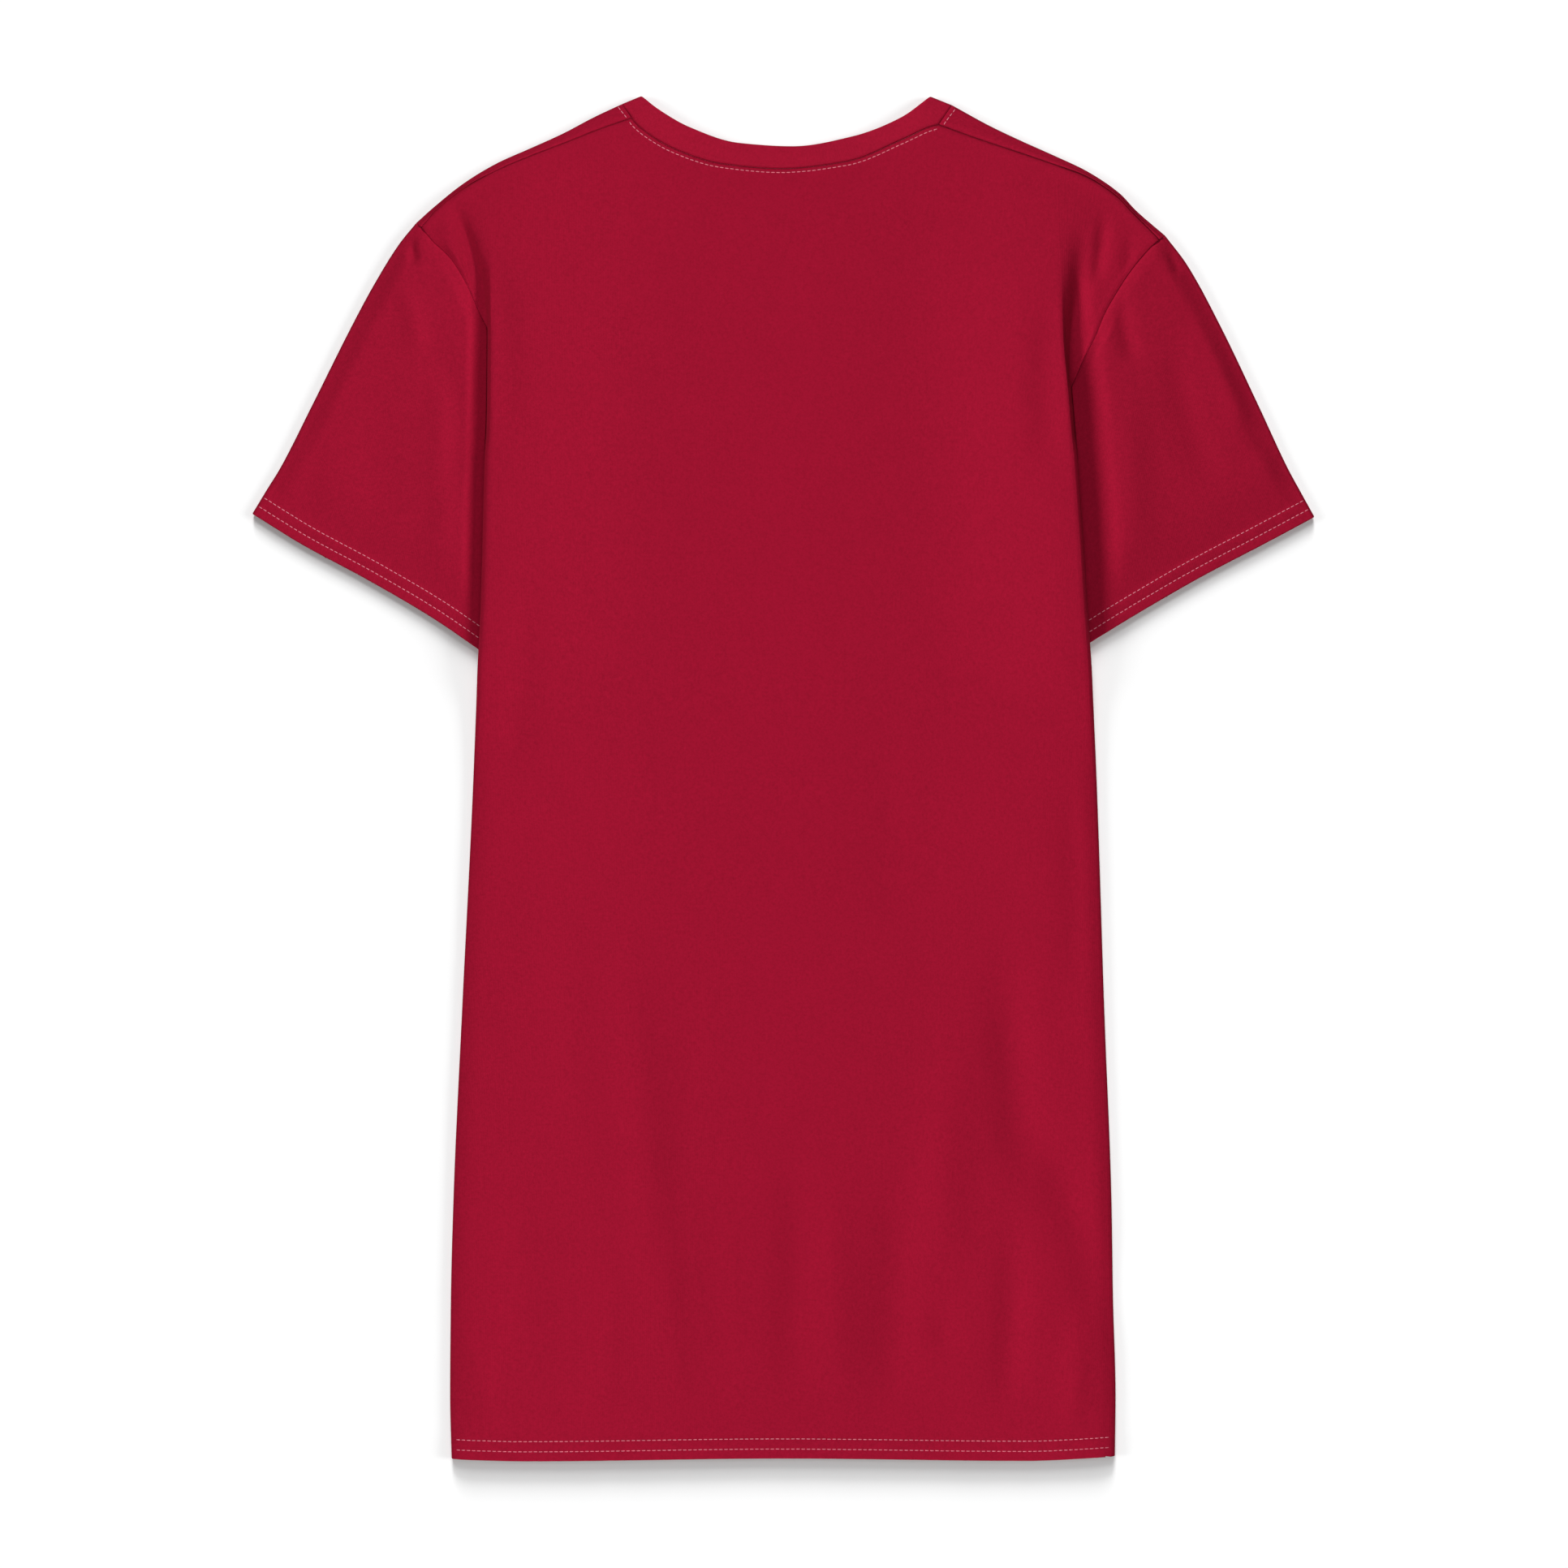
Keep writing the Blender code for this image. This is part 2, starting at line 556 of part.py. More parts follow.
def build_back():
    crests, closed, shoulder_edges, near_neck = {}, {}, {}, {}
    for side, details in SIDES.items():
        crests[side], closed[side] = crest_line(side)
        near_shares, far_shares = shoulder_shares(side)
        near_neck[side] = shoulder(side, near_shares)[1]
        eased = aside(shoulder(side, far_shares)[1], details["inward"] * SEAM_GAP / 2)
        arm = back_armhole(side)[:, :2]
        eased[-1] += (aside(arm, details["inward"] * SEAM_GAP / 2) - arm)[0]
        shoulder_edges[side] = eased
    top = np.concatenate([
        near_neck["left"][::-1],
        back_neck(np.linspace(0, 1, NECK_COLUMNS + 1))[1:-1],
        near_neck["right"],
    ])
    top = aside(top, -SEAM_GAP / 2)
    for side, end in (("left", 0), ("right", -1)):
        crests[side][-1] = top[end]
        shoulder_edges[side][0] = top[end]
    u = np.linspace(0, 1, len(top))
    hem_x = crests["left"][0, 0] + (crests["right"][0, 0] - crests["left"][0, 0]) * u
    bottom = np.stack([hem_x, hem_y(hem_x)], axis=-1)
    bottom[0], bottom[-1] = crests["left"][0], crests["right"][0]
    v = (crests["left"][:, 1] - crests["left"][0, 1]) / np.ptp(crests["left"][:, 1])
    middle = patch(bottom, top, crests["left"], crests["right"], u, v, hold=3)
    middle = with_height(middle, back_height(middle[..., 0], middle[..., 1]))
    left = side_strip("left", crests["left"], closed["left"], shoulder_edges["left"])
    right = side_strip("right", crests["right"], closed["right"], shoulder_edges["right"])
    cloth("back_panel", [middle, left[:, ::-1], right], WALL, CRIMSON)


def build_front():
    lines, uppers, wraps, floors = {}, {}, {}, {}
    for side, details in SIDES.items():
        sign = details["inward"]
        y = BODY_ROWS[BODY_ROWS < UNDERARM_Y].copy()
        y[0] = hem_y(side_edge(HEM_Y, side))
        seam = np.stack([side_edge(y, side) + sign * tuck(y), y], axis=-1)
        line = aside(np.concatenate([seam, front_armhole(side)]), -sign * SEAM_GAP / 2)
        lines[side], uppers[side] = line[:len(BODY_ROWS)], line[len(BODY_ROWS):-1]

        shares = np.concatenate([shoulder_shares(side)[0], shoulder_shares(side)[1][1:]])[::-1]
        shares = np.clip(shares, SEAM_EASE, 1 - SEAM_EASE)
        floors[side] = shoulder_floor(side, shares)
        fold, wrap_seam = shoulder(side, shares)
        inward = shoulder_inward(side, shares)
        high = np.full(len(fold), SHOULDER_TOP)
        turned = roll(fold, inward, high, 0 * high, np.linspace(1, 0, ROLL_STEPS + 1))
        on_top = with_height(wrap_seam - inward * SEAM_GAP / 2, SHOULDER_TOP)
        wraps[side] = np.concatenate([turned, on_top[:, None]], axis=1)
    left, right = lines["left"], lines["right"]
    hem_x = left[0, 0] + (right[0, 0] - left[0, 0]) * FRONT_SHARES
    bottom = np.stack([hem_x, hem_y(hem_x)], axis=-1)
    bottom[0], bottom[-1] = left[0], right[0]
    top = left[-1] + (right[-1] - left[-1]) * FRONT_SHARES[:, None]
    v = (left[:, 1] - left[0, 1]) / np.ptp(left[:, 1])
    lower = patch(bottom, top, left, right, FRONT_SHARES, v)
    grid = with_height(lower, lift(lower[..., 0], lower[..., 1]))
    neck = aside(front_neck(shoulder_floor("left", np.array([0.0]))[0],
                            shoulder_floor("right", np.array([0.0]))[0], NECK_BOTTOM_Y), -SEAM_GAP / 2)
    outline = np.concatenate([lower[-1], uppers["right"], floors["right"], neck[::-1][1:-1],
                              floors["left"][::-1], uppers["left"][::-1]])
    cloth("front_panel", [grid[:, ::-1], wraps["left"], wraps["right"][:, ::-1]], WALL, CRIMSON, outline)


def build_sleeve(side):
    details = SIDES[side]
    sign = details["inward"]
    fold_reach = SLEEVE_EDGE / 2
    hem_line = plan(details["sleeve_hem"])

    # The underarm fold lies under the body's side; its tangents are where it turns
    under_y = np.linspace(UNDERARM_Y, hem_line[-1, 1], UNDERARM_ROWS + 1)
    fold = np.stack([side_edge(under_y, side) + sign * (tuck(under_y) - SEAM_GAP), under_y], axis=-1)
    tangent = fold - [sign * fold_reach, 0]

    seen = back_armhole(side)
    seen[:, :2] = aside(seen[:, :2], -sign * SEAM_GAP / 2)
    hidden_y = np.concatenate([covered_rows(side)[-2::-1], BODY_ROWS[BODY_ROWS > UNDERARM_Y][-2::-1]])
    hidden_x = side_edge(hidden_y, side) - sign * SEAM_GAP
    hidden = np.stack([hidden_x, hidden_y, np.full(len(hidden_y), VALLEY_LEVEL)], axis=-1)
    inner = np.concatenate([seen, hidden, with_height(tangent, SLEEVE_EDGE)])
    armhole_rows = len(seen) + len(hidden)
    front_seam = aside(front_armhole(side), sign * SEAM_GAP / 2)[1:-1]

    out_shares = np.concatenate([
        np.linspace(0, SLEEVE_BEND_SHARE, armhole_rows + 1),
        np.linspace(SLEEVE_BEND_SHARE, 1, UNDERARM_ROWS + 1)[1:],
    ])
    outer = path(plan(details["sleeve_out"]), out_shares)
    outer[0] = shoulder(side, np.array([1.0]))[0][0] + sign * aside_end(side)
    inward = unit(inner[:, :2] - outer)
    outer_top = outer + FOLD_REACH * inward

    hem_line[-1] = tangent[-1]
    hem_line[0] = outer_top[-1]
    first = outer_top[0] + (inner[0, :2] - outer_top[0]) * SLEEVE_SHARES[:, None]
    hem = path(hem_line, SLEEVE_SHARES)
    top = patch(hem, first, outer_top[::-1], inner[::-1, :2], SLEEVE_SHARES, 1 - out_shares[::-1])

    from_inner = np.linalg.norm(top - top[:, -1:], axis=-1)
    from_outer = np.linalg.norm(top - top[:, :1], axis=-1)
    from_hem = np.linalg.norm(top - top[:1], axis=-1)
    covered = np.clip(sign * (inner[::-1, 0] - side_edge(inner[::-1, 1], side)), 0, None)[:, None]
    folds = relief(top[..., 0], top[..., 1], details["sleeve_folds"])
    in_sight = from_inner - covered
    height = SLEEVE_LEVEL - SLEEVE_HEM_DROP * (1 - ramp(from_hem / 30)) + folds * ramp(in_sight / 5)
    edge_height = inner[::-1, 2][:, None]
    height = edge_height + (height - edge_height) * ramp(in_sight / VALLEY_RUN)
    height = SHOULDER_TOP + (height - SHOULDER_TOP) * ramp(from_outer / OUTER_RUN)
    high = height[::-1, 0]
    outer_roll = roll(outer, inward, high, 0 * high, np.linspace(1, 0, ROLL_STEPS + 1))[::-1]
    edge_high = np.full(len(fold), SLEEVE_EDGE)
    out_of_fold = np.broadcast_to([-sign * 1.0, 0.0], fold.shape)
    inner_roll = roll(fold, out_of_fold, edge_high, 0 * edge_high, np.linspace(0, 1, ROLL_STEPS + 1),
                      fold_reach)[::-1]
    outline = np.concatenate([outer_top, hem[1:-1], tangent[::-1], front_seam])
    patches = [with_height(top, height), outer_roll, inner_roll]
    if side == "right":
        patches = [grid[:, ::-1] for grid in patches]
    cloth("sleeve_" + side, patches, WALL, CRIMSON, outline)


def aside_end(side):
    """Half a seam gap, along the shoulder fold and away from the neck."""
    fold = shoulder(side, np.array([0.99, 1.0]))[0]
    return unit(fold[1:] - fold[:1])[0] * SEAM_GAP / 2 * SIDES[side]["inward"]


def build_rib():
    ends = {}
    for side, details in SIDES.items():
        fold, inward = shoulder(side, np.array([0.0]))[0][0], shoulder_inward(side, np.array([0.0]))[0]
        tip = plan(NECK_EDGE)[0 if side == "left" else -1]
        next_tip = plan(NECK_EDGE)[1 if side == "left" else -2]
        along = unit(tip - fold)
        ends[side] = dict(
            edges=np.linspace(fold + along * SEAM_GAP / 2, tip, RIB_ROWS + 1),
            top=np.linspace(inward, unit(next_tip - tip), RIB_ROWS + 1),
            low=np.linspace(inward, [0.0, -1.0], RIB_ROWS + 1),
        )
        for name in ("top", "low"):
            ends[side][name] = unit(ends[side][name])
    shares = np.linspace(0, 1, NECK_COLUMNS + 1)
    seam = np.concatenate([shoulder("left", np.array([0.0]))[1], back_neck(shares)[1:-1],
                           shoulder("right", np.array([0.0]))[1]])
    seam = aside(seam, SEAM_GAP / 2)
    edge = path(plan(NECK_EDGE), np.concatenate([[0], shares * 0.9 + 0.05, [1]]))
    turns = np.linspace(0, 1, ROLL_STEPS + 1)
    loops = []
    for row, share in enumerate(np.linspace(0, 1, RIB_ROWS + 1)):
        arcs, low_ends = {}, {}
        for side in SIDES:
            point, up, down = (ends[side][name][row] for name in ("edges", "top", "low"))
            toward = np.where((turns < 0.5)[:, None], up, down)
            out = point + toward * FOLD_REACH * (1 - np.sin(np.pi * turns))[:, None]
            arcs[side] = with_height(out, SHOULDER_TOP / 2 * (1 + np.cos(np.pi * turns)))
            low_ends[side] = out[-1]
        top_line = seam + (edge[1:-1] - seam) * share
        top_z = back_height(seam[:, 0], seam[:, 1]) - RIB_DROP * share
        lowest = NECK_BOTTOM_Y + SEAM_GAP / 2 + RIB_WIDTH * share
        low_line = front_neck(low_ends["left"], low_ends["right"], lowest)
        loops.append(np.concatenate([
            arcs["left"][::-1],
            with_height(top_line, top_z),
            arcs["right"],
            with_height(low_line[::-1], 0.0)[1:],
        ]))
    cloth("neck_rib", [np.array(loops)], RIB_WALL, RIB_CRIMSON)


def main():
    for leftover in list(bpy.data.objects):
        bpy.data.objects.remove(leftover)
    bpy.context.scene.collection.children.link(bpy.data.collections.new(COLLECTION))
    build_front()
    build_back()
    for side in SIDES:
        build_sleeve(side)
    build_rib()


main()
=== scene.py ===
"""A short-sleeved t-shirt dress in crimson cotton jersey, laid on its front with its back up.

The neck points to +Y and the dress lies on z = 0. Left and right are the wearer's, so the left
sleeve is at -X. Shapes are worked out in millimetres and become metres when a mesh is made.
"""

import bmesh
import bpy
import numpy as np
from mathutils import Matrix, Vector, noise
from mathutils.bvhtree import BVHTree


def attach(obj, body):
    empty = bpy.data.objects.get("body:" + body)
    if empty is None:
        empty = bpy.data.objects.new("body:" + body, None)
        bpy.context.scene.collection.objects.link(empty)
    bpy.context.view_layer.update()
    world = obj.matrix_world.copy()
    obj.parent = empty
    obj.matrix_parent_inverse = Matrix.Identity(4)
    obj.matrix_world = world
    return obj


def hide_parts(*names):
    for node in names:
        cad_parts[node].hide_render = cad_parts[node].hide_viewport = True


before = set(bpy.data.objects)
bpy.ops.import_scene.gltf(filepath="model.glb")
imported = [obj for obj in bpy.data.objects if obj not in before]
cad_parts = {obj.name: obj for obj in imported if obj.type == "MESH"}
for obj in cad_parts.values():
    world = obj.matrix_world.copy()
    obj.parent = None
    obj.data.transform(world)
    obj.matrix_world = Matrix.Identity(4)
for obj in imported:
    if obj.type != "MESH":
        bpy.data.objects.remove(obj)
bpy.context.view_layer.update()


# ---- Back panel ----
# The back is one piece of jersey, turned up and twin-needled at the hem. Its sides fold over and
# under to the side seams, and its armholes dip between body and sleeve. It lies on the front panel,
# so broad shallow folds run up it from the hem.

MM = 0.001
WALL = 0.7                 # jersey
SEAM_GAP = 0.12
SEAM_DEPTH, SEAM_WIDTH = 0.5, 0.9
WELT_HEIGHT, WELT_WIDTH = 0.18, 1.8
WELT_AWAY = 3.0            # where a seam's allowance lifts the cloth beside it
REST_CLEARANCE = 0.04      # between the surface and cloth pressed flat on it
FOLD_REACH = 2.2           # half-width, seen from above, of a rolled shoulder or sleeve fold
SIDE_REACH = 3.0
SIDE_LEAN = 0.6            # radians that a side already slopes where it starts to roll over
CORNER_EASE = 60.0         # run of a side over which its hem corner's own height is taken up
SLEEVE_EDGE = 3.2          # height of a sleeve at its underarm fold
SLEEVE_STACK = SLEEVE_EDGE + 0.3
BACK_LEVEL = 5.2
NECK_LEVEL = 3.4
NECK_LEVEL_Y, NECK_EASE = 350.0, 40.0        # above here the back dips over the front neckline
NECK_HOLLOW = dict(x=2, y=432, half_width=86, depth=78, fades=1.4)  # where it has no front under it
SHOULDER_TOP = 4.8
SHOULDER_EDGE = 3.4        # where the cloth starts to turn under at a shoulder fold
SHOULDER_RUN = 24.0        # how far from a shoulder seam the back keeps the seam's height
VALLEY_LEVEL = 2.4
VALLEY_FLOOR = 2.0
COVERED_EDGE = 1.7
HEM_Y = -436.5
SLEEVE_HEM_Y = 77.0
SIDE_RUN = 9.0             # how far in from a side's crest the back reaches its own level
STACK_RUN = 100.0          # the same where the sleeve under it lifts the side
STACKED_FROM_Y, STACKED_EASE = 10.0, 70.0    # where the longer run takes over
STACK_SWELL = 1.2          # between two lifted sides
SWELL_ENDS, SWELL_EASE = (20.0, 390.0), 80.0
LIFT_FROM_Y, LIFT_EASE = SLEEVE_HEM_Y - 30, 24.0  # where the sleeves under the sides start to lift them
LIFT_WIDTH, LIFT_FADE = 20.0, 18.0           # of the lifted strip, in from the tuck
UNDERARM_Y = 192.0
TUCK_END_Y = UNDERARM_Y + 12
TUCK_OUT_Y = UNDERARM_Y + 30
HEM_DEPTH = 13.4           # of the turned-up hems
HEM_RADIUS = 0.8
HEM_STEP, HEM_EASE = 0.55, 1.8               # where the turned-up cloth ends
HEM_ANGLES = np.linspace(0, np.pi, 9)[1:]
HEM_SHARES = (0.15, 0.4, 0.7, 1.0)
STITCH_ROWS = (6.2, 12.7)  # twin-needle rows, from the hem's edge
NECK_ROW = 2.6             # of the neck topstitching, from its seam
ROW_DEPTH, NECK_ROW_DEPTH, ROW_WIDTH = 0.3, 0.2, 0.9

# Slackness of the cloth: most rise or fall, width and length of its patches, seed
BACK_SLACK = (0.14, 26.0, 60.0, 1.0)
BACK_RUMPLES = (0.05, 9.0, 14.0, 2.0)
HEM_PUCKERS = (0.2, 7.0, 16.0, 4.2)
PUCKERS_AT, PUCKERS_WIDTH = 11, 8


def table(columns, *rows):
    """One table's columns, by name."""
    return dict(zip(columns.split(), np.array(rows, float).T))


BODY_SIDE = table(
    "y left right crest tuck",
    (HEM_Y, -212.8, 212.6, 4.2, 9),
    (-396, -213.8, 213.1, 3.9, 9),
    (-333, -213.3, 211.5, 3.8, 9.5),
    (-271, -211.7, 210.5, 3.8, 10),
    (-146, -206, 205.8, 3.8, 10),
    (-21, -199.8, 201.7, 4, 10),
    (41, -197.2, 199.1, 5.6, 10),
    (70, -195.9, 197.5, 9.2, 10),
    (110, -193.8, 194.6, 11.2, 9),
    (150, -192.6, 192.2, 11.6, 7.6),
    (UNDERARM_Y, -191.6, 189.2, 11.6, 6),
    (240, -190.2, 185.5, 11.4, 6),
    (285, -189.9, 181.4, 10.6, 6),
    (316, -189.9, 180.3, 9.4, 6),
    (350, -190.6, 178.8, 7.2, 6),
    (392.5, -192, 177.2, 5.2, 6),
)
HEM = table(
    "x y",
    (-212.8, HEM_Y), (-165, -437.7), (0, -435.9), (155, -437.4), (212.6, -434.8),
)
SHOULDER_LEFT = table(
    "fold_x fold_y seam_x seam_y",
    (-103.6, 432.5, -97.3, 423.2),
    (-121.3, 424.2, -117.1, 416.4),
    (-142.1, 413.3, -138.9, 407.8),
    (-162.9, 403.9, -160.3, 399.6),
    (-183.7, 394.6, -181.1, 390.9),
    (-204.5, 382.1, -202.8, 379.6),
    (-225.3, 365.5, -223.4, 363.4),
    (-235.7, 356.1, -232, 353),
)
SHOULDER_RIGHT = table(
    "fold_x fold_y seam_x seam_y",
    (108.2, 431.8, 99.7, 419),
    (132.5, 418.5, 127.8, 408.9),
    (153.3, 408.6, 149.9, 401.6),
    (174.1, 399.3, 171.7, 394.2),
    (194.9, 389.4, 193.3, 386.4),
    (215.7, 375.3, 214, 373.2),
    (226.1, 364.4, 224.2, 362.5),
    (245, 348, 241.2, 345.2),
)
ARMHOLE_LEFT = table(
    "x y height",
    (-232, 353, 4.8),
    (-225.3, 344.7, 4.7),
    (-213.8, 333.7, 4.4),
    (-207.1, 323.9, 3.8),
    (-201.3, 312.9, 3),
    (-196.1, 301, 2.6),
    (-190.1, 289, VALLEY_LEVEL),
)
ARMHOLE_RIGHT = table(
    "x y height",
    (241.2, 345.2, 4.8),
    (235.5, 340, 4.7),
    (223.5, 326, 4.5),
    (214.1, 311.9, 4.3),
    (205.8, 297.3, 4),
    (200.1, 283.3, 3.5),
    (193.3, 270.3, 2.7),
    (184.8, 250.5, VALLEY_LEVEL),
)
NECK_SEAM = table(
    "x y",
    (-97.3, 423.2), (-94.7, 419.5), (-69.8, 403.4), (-39.6, 394.1), (-1.7, 390.9),
    (41, 395.6), (76.9, 409.7), (94, 417.4), (99.7, 419),
)
BODY = {
    "left": dict(shoulder=SHOULDER_LEFT, armhole=ARMHOLE_LEFT),
    "right": dict(shoulder=SHOULDER_RIGHT, armhole=ARMHOLE_RIGHT),
}
INWARD = {"left": 1, "right": -1}  # along X, from each side

# Folds, as soft ridges (+) and troughs (-) along lines that may bow sideways
FOLD_COLUMNS = "x0 y0 x1 y1 bow width depth"
BACK_FOLDS = table(
    FOLD_COLUMNS,
    (-102.2, -62, -68, -410, -3, 12, -0.9),
    (-77.7, -250, -65.4, -425, 2, 7, -0.35),
    (7, -215, 2, -416, 2, 12, -1.3),
    (76, -230, 69, -418, -2, 15, -0.7),
    (96.9, -330, 104.9, -372, 1, 8, -0.35),
    (141.7, -90, 158, -275, -3, 15, -1),
    (154, -200, 209.3, -370, 5, 13, -0.6),
    (172, -90, 186, -300, -3, 24, -0.45),
    (147, -265, 141.1, -414, 2, 10, -0.6),
    (-172, -240, -170, -406, 4, 17, -0.6),
    (-156, -45, 156, -38, 6, 42, -0.5),
    (-63.4, -115, -61.3, -290, 3, 13, 0.7),
    (-39.2, -230, -34.9, -406, -2, 12, 0.8),
    (27.2, -250, 33.8, -410, 2, 13, 0.6),
    (108.9, -150, 103.9, -330, -3, 16, 0.6),
    (-190, 363, -177, 205, 4, 11, -0.7),
    (-167, 150, -177, -15, 3, 13, -0.6),
    (172, 330, 171, 185, -3, 12, -0.7),
    (-93.9, 95, -91.8, -60, 2, 9, -0.22),
    (-136, -70, -128, -250, -3, 12, -0.3),
    (-109.9, -300, -118, -420, 2, 9, -0.3),
    (182, 20, 187, -150, 2, 9, -0.3),
    (65.4, 60, 71.6, -110, -3, 14, -0.2),
    (191, -330, 184, -425, 1, 8, 0.4),
    (-196, -350, -188, -428, -1, 8, 0.4),
)
ARMHOLE_FOLDS = table(
    FOLD_COLUMNS,
    (194.5, 366, 188.5, 185, -4.5, 7, -8),
    (206, 368, 199, 312, 1, 4.5, -2.6),
    (223, 356, 220, 312, 0, 4, -1.2),
    (-214, 374, -194, 296, 3, 5, -5.5),
    (-195, 345, -193, 180, 1, 4.5, -7.5),
    (-220, 368, -203, 300, 0, 6, 2),
)

FOLD_DEPTH = 3.0
FOLD_STARTS, FOLD_ENDS = 0.45, 0.3           # shares of its length that a fold takes to deepen and to end
ARMHOLE_FOLD_RUNS = (2.6, 5.0)               # of armhole folds, from the crest and to the seam
SEAM_DIP_RUNS = (6.0, 8.0)                   # of seam dips, from the crest and by the side's width
SHOULDER_DIP_RUN = 3.0
STRIP_STEPS = np.linspace(0, 1, 31)          # across a side, from its crest to its seam
OPEN_STEPS = 1 - (1 - STRIP_STEPS) ** 1.3    # the same beside the armhole, closer at the seam
ROLL_TURNS = np.linspace(0, 1, 11)           # round a fold, from its top to its underside
FINE_TURNS = np.linspace(0, 1, 61)           # the same, to measure along it
UNDER_STEPS = np.linspace(0, 1, len(STRIP_STEPS) - len(ROLL_TURNS) + 1)[1:]  # from a fold to its seam
ARMHOLE_SHARES = np.linspace(0, 1, 41) ** 1.25
COVERED_ROWS = 22
SHOULDER_COLUMNS = 30
NECK_COLUMNS = 72
BODY_ROWS = np.concatenate([  # close together at the hem and where the side's tuck opens
    HEM_Y + np.arange(0, 15, 1.0), np.arange(HEM_Y + 16, UNDERARM_Y - 1, 4.0),
    np.arange(UNDERARM_Y, TUCK_OUT_Y + 1, 3.0),
])


def smooth(at, knots, values):
    """A curve through a table's values that doesn't overshoot them (monotone cubic)."""
    step = np.diff(knots)
    rise = np.diff(values) / step
    slope = np.concatenate([rise[:1], np.zeros(len(rise) - 1), rise[-1:]])
    before, after = rise[:-1], rise[1:]
    same_way = before * after > 0
    slope[1:-1][same_way] = (2 * before * after)[same_way] / (before + after)[same_way]
    at = np.clip(at, knots[0], knots[-1])
    span = np.clip(np.searchsorted(knots, at, side="right") - 1, 0, len(step) - 1)
    t = (at - knots[span]) / step[span]
    return (
        values[span] * (1 + 2 * t) * (1 - t) ** 2
        + values[span + 1] * t ** 2 * (3 - 2 * t)
        + step[span] * (slope[span] * t * (1 - t) ** 2 - slope[span + 1] * t ** 2 * (1 - t))
    )


def from_zero(steps):
    """Running total of steps, starting at 0."""
    return np.concatenate([[0], np.cumsum(steps)])


def run_along(points):
    """Distance of each point from the first, along their line."""
    return from_zero(np.linalg.norm(np.diff(points, axis=0), axis=1))


def path(points, shares):
    """The smooth curve through points, at shares of its length."""
    run = run_along(points)
    at = np.asarray(shares) * run[-1]
    return np.stack([smooth(at, run, column) for column in points.T], axis=-1)


def xy(x, y):
    return np.stack([x, y], axis=-1)


def plan(rows, x="x", y="y"):
    return xy(rows[x], rows[y])


def unit(vectors):
    return vectors / np.linalg.norm(vectors, axis=-1, keepdims=True)


def aside(points, distance):
    """A plan curve moved sideways, to the left of its direction."""
    along = unit(np.gradient(points, axis=0))
    return points + distance * xy(-along[:, 1], along[:, 0])


def ramp(t):
    t = np.clip(t, 0, 1)
    return t * t * (3 - 2 * t)


def bell(distance, width):
    return np.exp(-(distance / width) ** 2)


def patch(bottom, top, left, right, u, v, hold=1):
    """Plan grid between four edge curves, in rows from bottom to top. A higher hold keeps more rows
    like the bottom edge."""
    u, v = u[None, :, None], v[:, None, None] ** hold
    across = left[:, None] * (1 - u) + right[:, None] * u
    lower = bottom - (bottom[0] * (1 - u) + bottom[-1] * u)
    upper = top - (top[0] * (1 - u) + top[-1] * u)
    return across + lower * (1 - v) + upper * v


def relief(x, y, folds):
    """Height that the folds add at each plan point."""
    total = np.zeros(np.shape(x))
    for x0, y0, x1, y1, bow, width, depth in zip(*(folds[name] for name in FOLD_COLUMNS.split())):
        run = np.hypot(x1 - x0, y1 - y0)
        ux, uy = (x1 - x0) / run, (y1 - y0) / run
        t = ((x - x0) * ux + (y - y0) * uy) / run
        inside = np.clip(t, 0, 1)
        off = (x - x0) * -uy + (y - y0) * ux - bow * 4 * inside * (1 - inside)
        total += depth * bell(off, width) * ramp(t / FOLD_STARTS) * ramp((1 - t) / FOLD_ENDS)
    return total


def slackness(x, y, rise, across, along, seed):
    """Soft random rise and fall of the cloth, in patches this wide and long."""
    flat = [noise.noise(Vector((a / across, b / along, seed))) for a, b in zip(np.ravel(x), np.ravel(y))]
    return rise * np.reshape(flat, np.shape(x))


def with_height(points, height):
    return np.concatenate([points, np.broadcast_to(height, points.shape[:-1])[..., None]], axis=-1)


def roll(edge, inward, top, low, turns, reach=FOLD_REACH, lean=0.0):
    """Points round a fold: turn 0 is its top tangent, 0.5 its edge and 1 its lower tangent. With a
    lean, its top starts on a slope instead of level."""
    upper = turns < 0.5
    angle = np.where(upper, lean + (np.pi / 2 - lean) * 2 * turns, np.pi * turns)
    away = np.where(upper, (1 - np.sin(angle)) / (1 - np.sin(lean)), 1 - np.sin(angle))
    rise = np.where(upper, np.cos(angle) / np.cos(lean), np.cos(angle))
    out = edge[:, None] + inward[:, None] * (reach * away)[None, :, None]
    height = (top + low)[:, None] / 2 + (top - low)[:, None] / 2 * rise
    return with_height(out, height)


def side_edge(y, side):
    return smooth(y, BODY_SIDE["y"], BODY_SIDE[side])


def crest(y):
    return smooth(y, BODY_SIDE["y"], BODY_SIDE["crest"])


def tuck(y):
    return smooth(y, BODY_SIDE["y"], BODY_SIDE["tuck"])


def hem_y(x):
    return smooth(x, HEM["x"], HEM["y"])


def inside_sides(x, y):
    """Distance in from the nearer side fold."""
    return np.minimum(x - side_edge(y, "left"), side_edge(y, "right") - x)


def tucked(y):
    """1 where a side is tucked under up to its seam, easing to 0 where the armhole opens it."""
    return ramp((TUCK_OUT_Y - y) / (TUCK_OUT_Y - TUCK_END_Y))


def lift(x, y):
    """How far the sleeves under the body's sides raise it."""
    along = ramp((y - LIFT_FROM_Y) / LIFT_EASE) * tucked(y)
    across = ramp((tuck(y) + LIFT_WIDTH - inside_sides(x, y)) / LIFT_FADE)
    return SLEEVE_STACK * along * across


